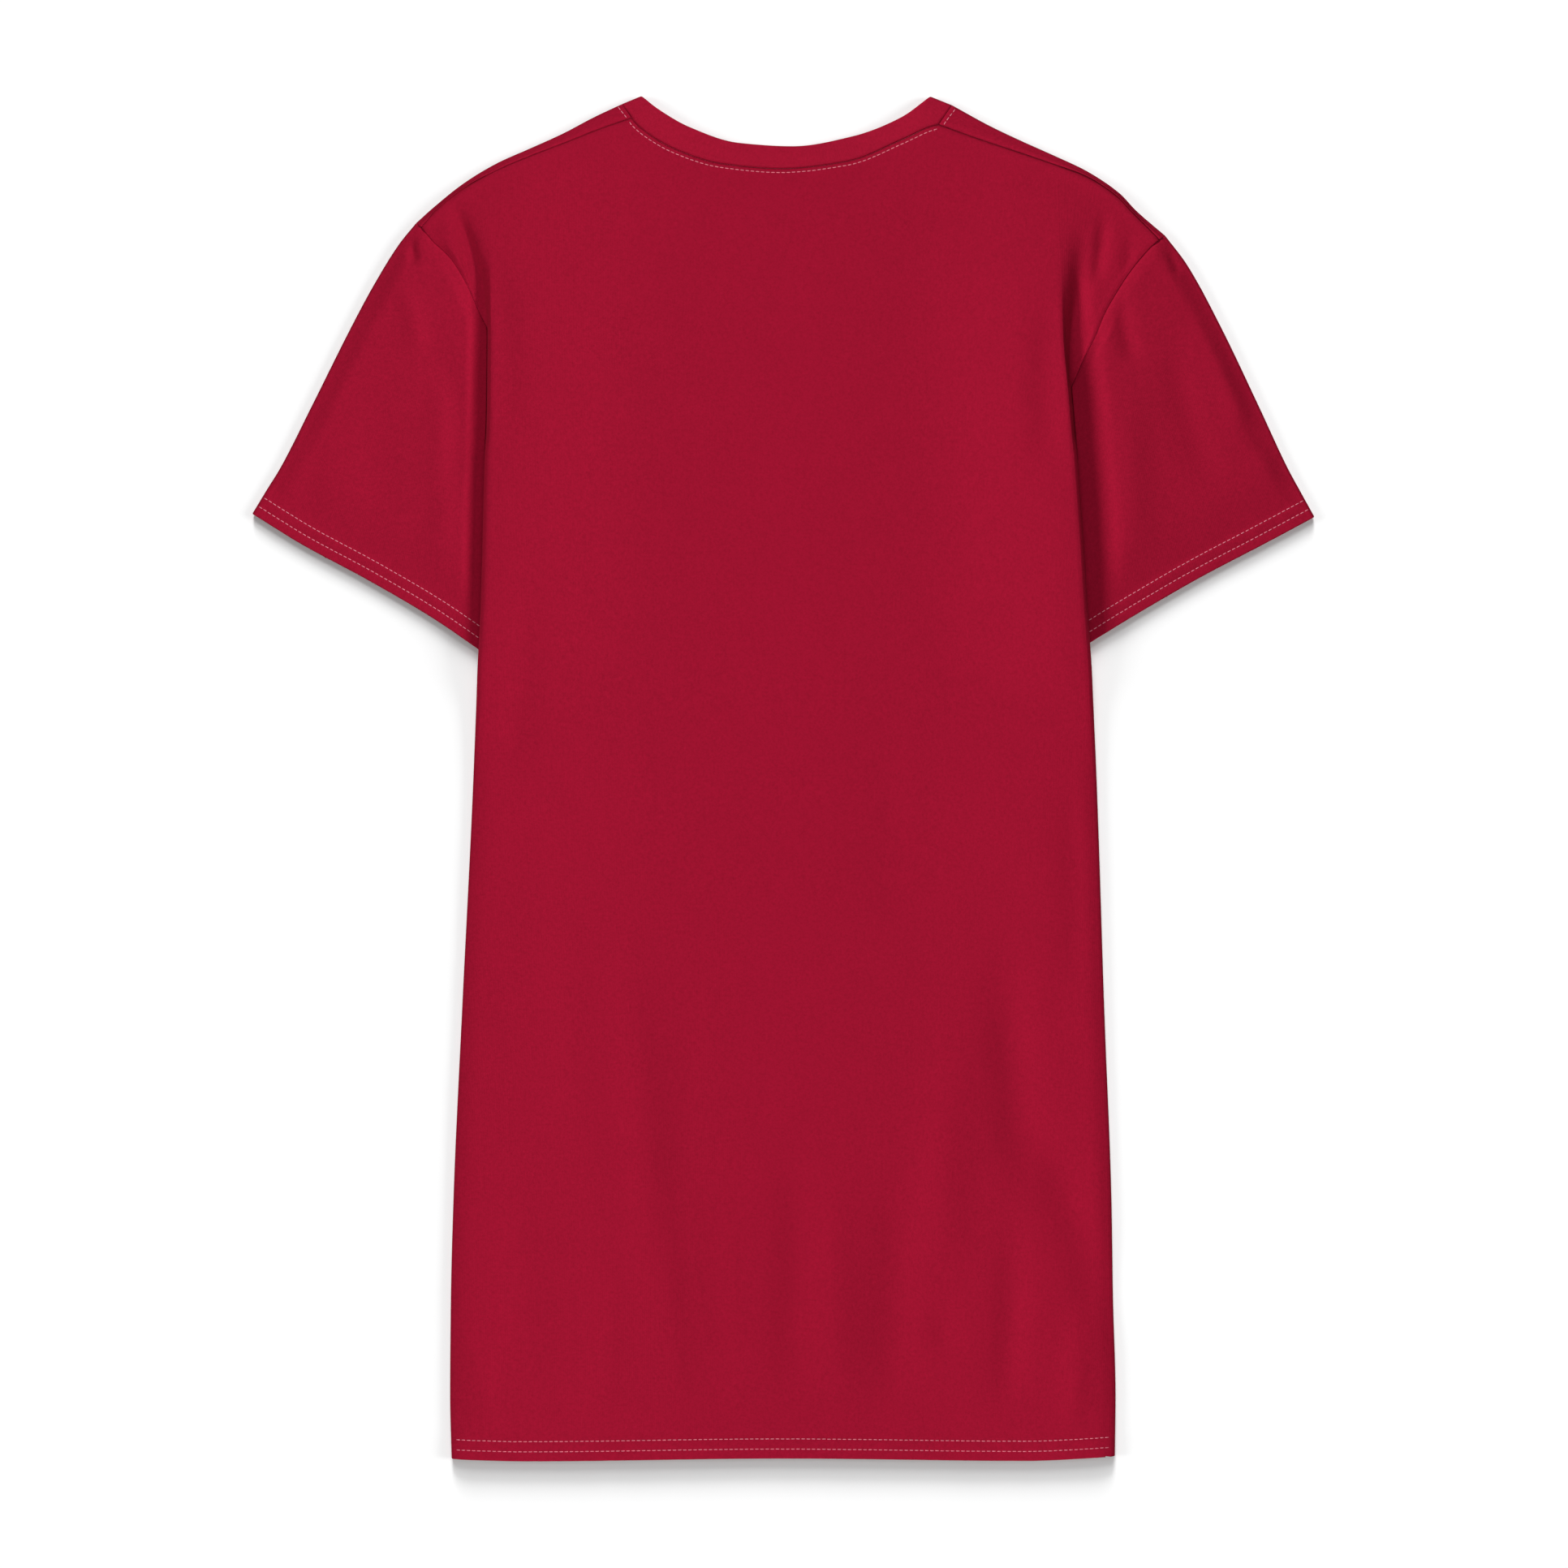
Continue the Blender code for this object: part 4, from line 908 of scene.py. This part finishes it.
SLEEVE_FOLDS_LEFT = table(
    FOLD_COLUMNS,
    (-235, 349, -231, 328, 0, 3.5, -1.2),
    (-234, 306, -222, 155, 22, 10, -1),
    (-243, 324, -228, 268, 3, 7, 0.8),
    (-213, 292, -214, 130, 1, 9, 0.9),
    (-290, 235, -300, 160, -3, 12, -0.5),
    (-262, 260, -258, 150, 3, 14, -0.4),
)
SLEEVE_FOLDS_RIGHT = table(
    FOLD_COLUMNS,
    (242.7, 343, 249.5, 321, 0, 3.5, -1.2),
    (211, 318, 222, 262, -3, 6, -1),
    (241, 298, 273, 180, -4, 10, -0.7),
    (286, 232, 308, 208, 1, 6, -0.6),
    (214, 262, 218, 132, 2, 11, 0.8),
    (262, 300, 290, 215, 2, 8, 0.4),
)
UNDER_FOLDS_LEFT = table(
    FOLD_COLUMNS,
    (-225, 300, -230, 130, 8, 9, 0.7),
    (-262, 290, -290, 170, -5, 10, 0.6),
)
UNDER_FOLDS_RIGHT = table(
    FOLD_COLUMNS,
    (222, 290, 232, 135, -7, 9, 0.7),
    (258, 285, 292, 175, 6, 10, 0.6),
)
SLEEVES = {                # valley and rise: width of the crease beside the body, and of its slope
    "left": dict(out=OUT_LEFT, hem=SLEEVE_HEM_LEFT, folds=SLEEVE_FOLDS_LEFT, under=UNDER_FOLDS_LEFT,
                 valley=5.5, rise=8, hump=0.5),
    "right": dict(out=OUT_RIGHT, hem=SLEEVE_HEM_RIGHT, folds=SLEEVE_FOLDS_RIGHT, under=UNDER_FOLDS_RIGHT,
                  valley=9, rise=17, hump=0.4),
}
SLEEVE_FOLD_DEPTH = 1.6
FOLD_SHIFT = 5             # how far outwards of their table's places the sleeve's folds lie
SLEEVE_SLACK = (0.12, 20.0, 40.0, 8.0)
UNDER_SLACK = (0.1, 20.0, 40.0, 9.0)
HEM_DROP, HEM_DROP_RUN = 2.9, 45
HEM_FADE, FOLD_FADE, INNER_EASE, OUTER_EASE = 4, 5, 12, 14  # runs in from the sleeve's edges
OUTER_START = 0.08
OUTER_TOP_Y, OUTER_TOP_RUN = 345, 30         # below here the outer fold is thinner
HUMP_Y, HUMP_RUN, HUMP_AWAY, HUMP_WIDTH = 290, 60, 9, 22    # swelling beside the crease
HUMP_FROM_HEM, HUMP_HEM_RUN = 4, 30
INNER_SINK = 0.3           # how far the underarm fold stays short of the body's tuck
VALLEY_RISE, VALLEY_RISE_RUN = 58, 40        # how far over the underarm the crease starts to climb
ARMPIT_RUN, ARMPIT_WIDTH, ARMPIT_GAP = 4, 8, 0.2  # of the lower layer's climb to the front's edge
SLEEVE_BEND_SHARE = 0.56   # share of the sleeve's outer fold that lies opposite its armhole
SLEEVE_SHARES = ramp(np.linspace(0.08, 0.92, 66))  # across a sleeve, closer together at both folds
SLEEVE_SHARES = (SLEEVE_SHARES - SLEEVE_SHARES[0]) / np.ptp(SLEEVE_SHARES)
# down the underarm fold, closer together at the hem
UNDERARM_SHARES = np.concatenate([np.linspace(0, 0.87, 38), np.linspace(0.87, 1, 15)[1:]])


def valley_floor(y):
    """Height of a sleeve beside the body, which eases up to its underarm fold."""
    climb = ramp((UNDERARM_Y + VALLEY_RISE - y) / VALLEY_RISE_RUN)
    return VALLEY_LEVEL + (SLEEVE_EDGE - VALLEY_LEVEL) * climb


def armpit_rise(x, y):
    """How far a sleeve's lower layer climbs to meet the front's edge, just above the underarm."""
    along = ramp((y - UNDERARM_Y) / ARMPIT_RUN) * tucked(y)
    across = ramp((inside_sides(x, y) - tuck(UNDERARM_Y) + ARMPIT_WIDTH) / ARMPIT_WIDTH)
    return (SLEEVE_STACK - WALL - ARMPIT_GAP) * along * across


def sleeve(side):
    """A sleeve's cloth, with both its folds and its hem, and the line of the hem's edge."""
    details, sign = SLEEVES[side], INWARD[side]
    hem_line = plan(details["hem"])
    under_y = UNDERARM_Y + (hem_line[-1, 1] - UNDERARM_Y) * UNDERARM_SHARES
    fold = xy(side_edge(under_y, side) + sign * (tuck(under_y) - INNER_SINK), under_y)
    tangent = fold - [sign * SLEEVE_EDGE / 2, 0]

    seen = back_armhole(side)
    seen[:, :2] = aside(seen[:, :2], -sign * SEAM_GAP / 2)
    hidden_y = np.concatenate([covered_rows(side)[-2::-1], BODY_ROWS[BODY_ROWS > UNDERARM_Y][-2::-1]])
    under_body = ramp((TUCK_END_Y - hidden_y) / (TUCK_END_Y - UNDERARM_Y))
    hidden_in = -INNER_SINK + (tuck(UNDERARM_Y) - SLEEVE_EDGE / 2) * under_body
    hidden_x = side_edge(hidden_y, side) + sign * hidden_in
    hidden = np.stack([hidden_x, hidden_y, valley_floor(hidden_y)], axis=-1)
    inner = np.concatenate([seen, hidden, with_height(tangent, SLEEVE_EDGE)])
    armhole_rows = len(seen) + len(hidden)
    front_seam = aside(front_armhole(side), sign * SEAM_GAP / 2)[1:-1]

    out_shares = np.concatenate([
        np.linspace(0, SLEEVE_BEND_SHARE, armhole_rows + 1),
        SLEEVE_BEND_SHARE + (1 - SLEEVE_BEND_SHARE) * UNDERARM_SHARES[1:],
    ])
    outer = path(plan(details["out"]), out_shares)
    shoulder_end = shoulder(side, [0.99, 1.0])[0]
    outer[0] = shoulder_end[1] + unit(shoulder_end[1] - shoulder_end[0]) * SEAM_GAP / 2
    inward = unit(inner[:, :2] - outer)
    outer_top = outer + FOLD_REACH * inward
    hem_line[-1] = tangent[-1]
    hem_line[0] = outer_top[-1]
    first = outer_top[0] + (inner[0, :2] - outer_top[0]) * SLEEVE_SHARES[:, None]
    hem = path(hem_line, SLEEVE_SHARES)
    top = patch(hem, first, outer_top[::-1], inner[::-1, :2], SLEEVE_SHARES, 1 - out_shares[::-1])
    x, y = top[..., 0], top[..., 1]

    from_inner = np.linalg.norm(top - top[:, -1:], axis=-1)
    from_outer = np.linalg.norm(top - top[:, :1], axis=-1)
    from_hem = distance_to(x, y, hem[::3])
    covered = np.clip(sign * (inner[::-1, 0] - side_edge(inner[::-1, 1], side)), 0, None)[:, None]
    clear = from_inner - covered
    folds = SLEEVE_FOLD_DEPTH * relief(x + sign * FOLD_SHIFT, y, details["folds"])
    folds = folds + slackness(x, y, *SLEEVE_SLACK)
    height = SLEEVE_LEVEL - HEM_DROP * (1 - ramp(from_hem / HEM_DROP_RUN)) + folds * ramp(clear / FOLD_FADE)
    height += hem_form(from_hem, x + y) * ramp(clear / HEM_FADE)
    edge_height = inner[::-1, 2][:, None]
    beyond = -sign * (x - side_edge(y, side)) - details["valley"]
    swells = ramp((from_hem - HUMP_FROM_HEM) / HUMP_HEM_RUN) * ramp((HUMP_Y - y) / HUMP_RUN)
    height += details["hump"] * swells * bell(beyond - HUMP_AWAY, HUMP_WIDTH)
    bottom = valley_floor(y)
    height = bottom + (height - bottom) * ramp(beyond / details["rise"])
    height = edge_height + (height - edge_height) * ramp(clear / INNER_EASE)
    thinner = ramp((OUTER_TOP_Y - outer[::-1, 1]) / OUTER_TOP_RUN)[:, None]
    outer_height = SHOULDER_EDGE + (OUTER_TOP - SHOULDER_EDGE) * thinner
    risen = ramp(from_outer / OUTER_EASE + OUTER_START) * ramp(from_outer)
    height = outer_height + (height - outer_height) * risen
    height += seam_dip(distance_to(x, y, back_armhole(side)[:, :2])) * ramp(from_outer / 2)
    high = height[::-1, 0]
    outer_roll = roll(outer, inward, high, 0 * high, ROLL_TURNS[::-1])[::-1]
    edge_high = np.full(len(fold), SLEEVE_EDGE)
    out_of_fold = np.broadcast_to([-sign * 1.0, 0.0], fold.shape)
    inner_roll = roll(fold, out_of_fold, edge_high, 0 * edge_high, ROLL_TURNS, SLEEVE_EDGE / 2)[::-1]
    outline = np.concatenate([outer_top, hem[1:-1], tangent[::-1], front_seam])
    patches = [with_height(top, height), outer_roll, inner_roll]
    if side == "right":
        patches = [grid[:, ::-1] for grid in patches]
    skin, flat = sew(patches, outline)

    def under_height(x, y, inside):
        puff = relief(x, y, details["under"]) + FLAT_PUFF + slackness(x, y, *UNDER_SLACK)
        return armpit_rise(x, y) + ramp(inside / FLAT_EASE) * np.clip(puff, 0, None)

    lay_flat_part(skin, flat, outline, under_height)
    edge_line = np.concatenate([outer[-1:], hem, fold[-1:]])

    def on_sleeve_hem(place):
        return distance_to(place.x / MM, place.y / MM, edge_line) < HEM_REACH

    turn_up(skin, on_sleeve_hem)
    return cloth_piece(skin, "sleeve_cloth_" + side, JERSEY, "sleeve_" + side), edge_line


sleeves = {side: sleeve(side) for side in SLEEVES}


# ---- Neck rib ----
# A strip of ribbed knit, folded double and sewn into the neckline. It stands up a little along the
# back of the neck and lies flat underneath, round the deeper front neckline.

RIB_WIDTH = 14.0
RIB_FOLD = 0.8             # radius of the fold at the free edge
RIB_DROP = 0.6             # the free edge below the seam, across the back
RIB_CROWN = 0.45
RIB_SEAM_DEPTH, RIB_SEAM_WIDTH = 0.7, 1.1
RIB_END_SHARE = 0.05       # of the free edge, in each corner at a shoulder
NECK_EDGE = table(
    "x y",
    (-91.1, 437.7), (-80.7, 429.4), (-59.9, 417.5), (-28.7, 407.6), (6, 405.4),
    (44.1, 411.7), (75.3, 423.7), (94.3, 437.4),
)
ends = {}
for side in BODY:
    fold, inward = shoulder(side, [0.0])[0][0], shoulder_inward(side, [0.0])[0]
    tip, next_tip = plan(NECK_EDGE)[[0, 1] if side == "left" else [-1, -2]]
    ends[side] = dict(start=fold + unit(tip - fold) * SEAM_GAP / 2, tip=tip, inward=inward,
                      along=unit(next_tip - tip))
shares = np.linspace(0, 1, NECK_COLUMNS + 1)
seam = np.concatenate([shoulder("left", [0.0])[1], back_neck(shares)[1:-1],
                       shoulder("right", [0.0])[1]])
seam = aside(seam, SEAM_GAP / 2)
between = shares * (1 - 2 * RIB_END_SHARE) + RIB_END_SHARE
edge = path(plan(NECK_EDGE), np.concatenate([[0], between, [1]]))
seam_height = back_height(seam[:, 0], seam[:, 1], sewn=False)


def rib_loop(share, deep):
    """One round of the neck, at a share of the rib's width and this deep under its outside."""
    arcs, low_ends = {}, {}
    bend = np.sin(np.pi * ROLL_TURNS)
    for side, end in ends.items():
        point = end["start"] + (end["tip"] - end["start"]) * share
        up = unit(end["inward"] + (end["along"] - end["inward"]) * share)
        down = unit(end["inward"] + ([0.0, -1.0] - end["inward"]) * share)
        toward = np.where((ROLL_TURNS < 0.5)[:, None], up, down)
        out = point + toward * (FOLD_REACH * (1 - bend) + deep * bend)[:, None]
        height = SHOULDER_EDGE / 2 + (SHOULDER_EDGE / 2 - deep) * np.cos(np.pi * ROLL_TURNS)
        arcs[side] = with_height(out, height)
        low_ends[side] = out[-1]
    crown = RIB_CROWN * np.sin(np.pi * share) - RIB_SEAM_DEPTH * bell(share * RIB_WIDTH, RIB_SEAM_WIDTH)
    across_back = with_height(seam + (edge[1:-1] - seam) * share,
                              seam_height - RIB_DROP * share + crown - deep)
    round_front = front_neck(low_ends["left"], low_ends["right"],
                             NECK_BOTTOM_Y + SEAM_GAP / 2 + RIB_WIDTH * share)
    return np.concatenate([
        arcs["left"][::-1], across_back, arcs["right"],
        with_height(round_front[::-1], deep + REST_CLEARANCE)[1:],
    ])


# The rib's rounds: its outside, the fold at its free edge and its inside
outside = [(share, 0.0) for share in np.linspace(0, 1 - RIB_FOLD / RIB_WIDTH, 11)]
turning = [(1 - RIB_FOLD * (1 - np.sin(turn)) / RIB_WIDTH, RIB_FOLD * (1 - np.cos(turn)))
           for turn in HEM_ANGLES]
inside = [(share, 2 * RIB_FOLD) for share in np.linspace(1 - RIB_FOLD / RIB_WIDTH, 0.1, 6)[1:]]
skin, _ = sew([np.array([rib_loop(*row) for row in outside + turning + inside])])
RIB_CRIMSON = (0.325, 0.006, 0.027, 1.0)
RIB_KNIT = cloth_finish("crimson_rib", RIB_CRIMSON, rib=0.15, bump=0.4)
rib = cloth_piece(skin, "neck_rib_cloth", RIB_KNIT, "neck_rib")


# ---- Stitches ----
# The hems are twin-needled and the neck seam is topstitched, in a thread that is paler than the
# cloth. Each stitch is a short length of thread that sinks at both ends.

THREAD_WIDTH = 0.55
STITCH_LENGTH = 2.7
STITCH_PITCH = 3.3
FIRST_STITCH = 0.4         # of a pitch in from a row's end
STITCH_RISE = {1: 0.06, -1: -0.2}  # a stitch's middle over the cloth, on its top and its underside
STITCH_SINK = 0.34         # of its ends
STITCH_WANDER = 0.08       # off its row
WANDER_RATES = (0.7, 0.13)                   # by the stitch, and by the millimetre
CAST_HEIGHT = 0.05         # metres, well clear of the cloth
THREAD_TURNS = np.linspace(0, 2 * np.pi, 7)[:-1]
THREAD_STATIONS = table(   # along half a stitch's length, with its share of the thread's width
    "at girth", (-1, 0.35), (-0.82, 0.75), (-0.4, 1), (0.4, 1), (0.82, 0.75), (1, 0.35),
)
THREAD_PINK = (0.70, 0.20, 0.27, 1.0)
thread, nodes, links, shader = matt_finish("pink_thread", Base_Color=THREAD_PINK, Roughness=0.5)
twist, where = nodes.new("ShaderNodeTexNoise"), nodes.new("ShaderNodeTexCoord")
twist.inputs["Scale"].default_value = 2600.0
links.new(where.outputs["Object"], twist.inputs["Vector"])
raise_surface(nodes, links, shader, twist.outputs["Fac"], strength=0.3, distance=0.1)


def sew_rows(name, piece, rows):
    """Stitches along plan curves, on the top (1) or the underside (-1) of a piece."""
    tree = BVHTree.FromObject(piece, bpy.context.evaluated_depsgraph_get())
    verts, faces, count = [], [], len(THREAD_TURNS)
    for curve, facing in rows:
        run = run_along(curve)
        down = Vector((0, 0, -facing))
        starts = np.arange(STITCH_PITCH * FIRST_STITCH, run[-1] - STITCH_LENGTH, STITCH_PITCH)
        for k, start in enumerate(starts):
            found = []
            for at in (start, start + STITCH_LENGTH):
                x, y = (np.interp(at, run, column) * MM for column in curve.T)
                found.append(tree.ray_cast(Vector((x, y, facing * CAST_HEIGHT)), down))
            if any(hit[0] is None for hit in found):
                continue
            (a, normal, *_), (b, other, *_) = found
            along, up = (b - a) / 2, (normal + other).normalized()
            out = along.cross(up).normalized()
            up = out.cross(along).normalized()
            place = Vector((k * WANDER_RATES[0], start * WANDER_RATES[1], facing))
            wander = noise.noise(place) * STITCH_WANDER * MM
            middle = (a + b) / 2 + out * wander + up * STITCH_RISE[facing] * MM
            rings = range(len(verts), len(verts) + count * len(THREAD_STATIONS["at"]), count)
            for station, size in zip(THREAD_STATIONS["at"], THREAD_STATIONS["girth"]):
                ring = middle + along * station - up * (STITCH_SINK * station ** 4 * MM)
                r = THREAD_WIDTH / 2 * size * MM
                verts += [ring + out * np.cos(turn) * r + up * np.sin(turn) * r for turn in THREAD_TURNS]
            for ring in rings[:-1]:
                for t in range(count):
                    a0, a1 = ring + t, ring + (t + 1) % count
                    faces.append((a0, a1, a1 + count, a0 + count))
            faces.append(tuple(range(rings[0], rings[0] + count))[::-1])
            faces.append(tuple(range(rings[-1], rings[-1] + count)))
    mesh = bpy.data.meshes.new(name)
    mesh.from_pydata([tuple(p) for p in verts], [], faces)
    mesh.shade_smooth()
    mesh.materials.append(thread)
    stitches = in_scene(name, mesh)
    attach(stitches, "root")
    return stitches


BACK_ROW_ENDS, FRONT_ROW_ENDS = (-211.0, 210.8), (-203.0, 203.0)


def hem_rows(low_x, high_x, facing):
    x = np.linspace(low_x, high_x, 120)
    return [(xy(x, hem_y(x) + row), facing) for row in STITCH_ROWS]


OVER_SHOULDER_POINTS, OVER_SHOULDER_SLANT = 12, 1.25


def over_shoulder(side):
    """The neck's topstitching where it crosses the front's shoulder strip, up to the fold."""
    folds, seams = shoulder(side, [0.0, 0.02])
    line = np.linspace(seams[0], folds[0], OVER_SHOULDER_POINTS)
    slant = np.linspace(1, OVER_SHOULDER_SLANT, OVER_SHOULDER_POINTS)
    return line + NECK_ROW * unit(folds[1] - folds[0]) * slant[:, None]


body_stitches = [
    sew_rows("hem_stitches_back", back, hem_rows(*BACK_ROW_ENDS, 1)),
    sew_rows("hem_stitches_front", front, hem_rows(*FRONT_ROW_ENDS, -1)),
    sew_rows("neck_stitches_back", back, [(aside(back_neck(np.linspace(0.0, 1.0, 60)), -NECK_ROW), 1)]),
    sew_rows("neck_stitches_front", front, [(aside(neck, -NECK_ROW)[2:-2], -1)] + [
        (over_shoulder(side), 1) for side in BODY]),
]
sleeve_stitches = {}
for side, (piece, edge_line) in sleeves.items():
    hem = path(edge_line, np.linspace(0, 1, 50))
    rows = [(aside(hem, INWARD[side] * row), facing) for row in STITCH_ROWS for facing in (1, -1)]
    sleeve_stitches[side] = sew_rows("sleeve_stitches_" + side, piece, rows)


# ---- Floor, light and camera ----
# A plain white floor. Body, sleeves and floor each have lamps of their own: broad overhead light on the
# cloth, a low key on each sleeve, low light round the floor for its soft shadows, and two softboxes that
# cross over the body, each lighting the half beyond the middle.

floor_mesh = bpy.data.meshes.new("floor")
floor_mesh.from_pydata([(-4, -4, 0), (4, -4, 0), (4, 4, 0), (-4, 4, 0)], [], [(0, 1, 2, 3)])
floor = in_scene("floor", floor_mesh)
paper, *_ = matt_finish("white_paper", Base_Color=(0.93, 0.93, 0.93, 1.0), Roughness=0.9,
                        Specular_IOR_Level=0.0)
floor_mesh.materials.append(paper)

LIGHT = 1.13
AMBIENT = 0.15
SOFTBOX_AT_Y, SOFTBOX_HEIGHT = 0.16, 0.45
SOFTBOX_SIZE = (0.08, 1.6)
SOFTBOX_BEAM = 28          # degrees
SOFTBOX_POWER = 1.9
FAR_HALF = 0.19            # how far beyond the middle a softbox is aimed


def sun(name, lit, toward, elevation, spread, share):
    """A soft distant light from a compass direction, giving this share of the light on what it lights."""
    data = bpy.data.lights.new(name, "SUN")
    data.angle = np.radians(spread)
    data.energy = np.pi * LIGHT * share / np.sin(np.radians(elevation))
    lamp = in_scene(name, data)
    lamp.rotation_euler = (0, np.radians(90 - elevation), np.radians(toward))
    lamp.light_linking.receiver_collection = lit


def softbox(name, lit, beside, share):
    """A long softbox beside the dress with a narrow beam, which lights the half beyond the middle."""
    far = -FAR_HALF * np.sign(beside)
    data = bpy.data.lights.new(name, "AREA")
    data.shape, data.size, data.size_y = "RECTANGLE", *SOFTBOX_SIZE
    data.spread = np.radians(SOFTBOX_BEAM)
    data.energy = SOFTBOX_POWER * LIGHT * share
    lamp = in_scene(name, data)
    lamp.location = (beside, SOFTBOX_AT_Y, SOFTBOX_HEIGHT)
    lamp.rotation_euler = (0, np.arctan2(beside - far, SOFTBOX_HEIGHT), 0)
    lamp.visible_camera = False
    lamp.light_linking.receiver_collection = lit


def flagged(name, pieces):
    """A group of pieces that lights can be kept to, as flags keep them in a studio."""
    group = bpy.data.collections.new(name)
    for piece in pieces:
        group.objects.link(piece)
    return group


on_body = flagged("light_on_body", [back, front, rib, *body_stitches])
on_left = flagged("light_on_left_sleeve", [sleeves["left"][0], sleeve_stitches["left"]])
on_right = flagged("light_on_right_sleeve", [sleeves["right"][0], sleeve_stitches["right"]])
on_floor = flagged("light_on_floor", [floor])
sun("body_overhead", on_body, 200, 66, 60, 0.45)
softbox("body_from_right", on_body, 0.45, 0.37)
softbox("body_from_left", on_body, -0.45, 0.35)
sun("left_sleeve_key", on_left, 12, 35, 26, 0.48)
sun("left_sleeve_overhead", on_left, 250, 72, 60, 0.36)
sun("right_sleeve_key", on_right, 168, 25, 22, 0.44)
sun("right_sleeve_overhead", on_right, 290, 72, 60, 0.31)
sun("floor_left", on_floor, 180, 17, 22, 0.14)
sun("floor_right", on_floor, 0, 17, 22, 0.17)
sun("floor_neck_end", on_floor, 92, 15, 16, 0.32)
sun("floor_neck_end_high", on_floor, 92, 30, 26, 0.22)
world = bpy.data.worlds.new("studio")
world.use_nodes = True
world.node_tree.nodes["Background"].inputs["Color"].default_value = (1, 1, 1, 1)
world.node_tree.nodes["Background"].inputs["Strength"].default_value = LIGHT * AMBIENT
bpy.context.scene.world = world

lens = bpy.data.cameras.new("camera")
lens.lens, lens.sensor_width = 85.0, 36.0
camera = in_scene("camera", lens)
camera.location = (0.0004, -0.0037, 2.377)
bpy.context.scene.camera = camera
bpy.context.scene.view_settings.view_transform = "Standard"
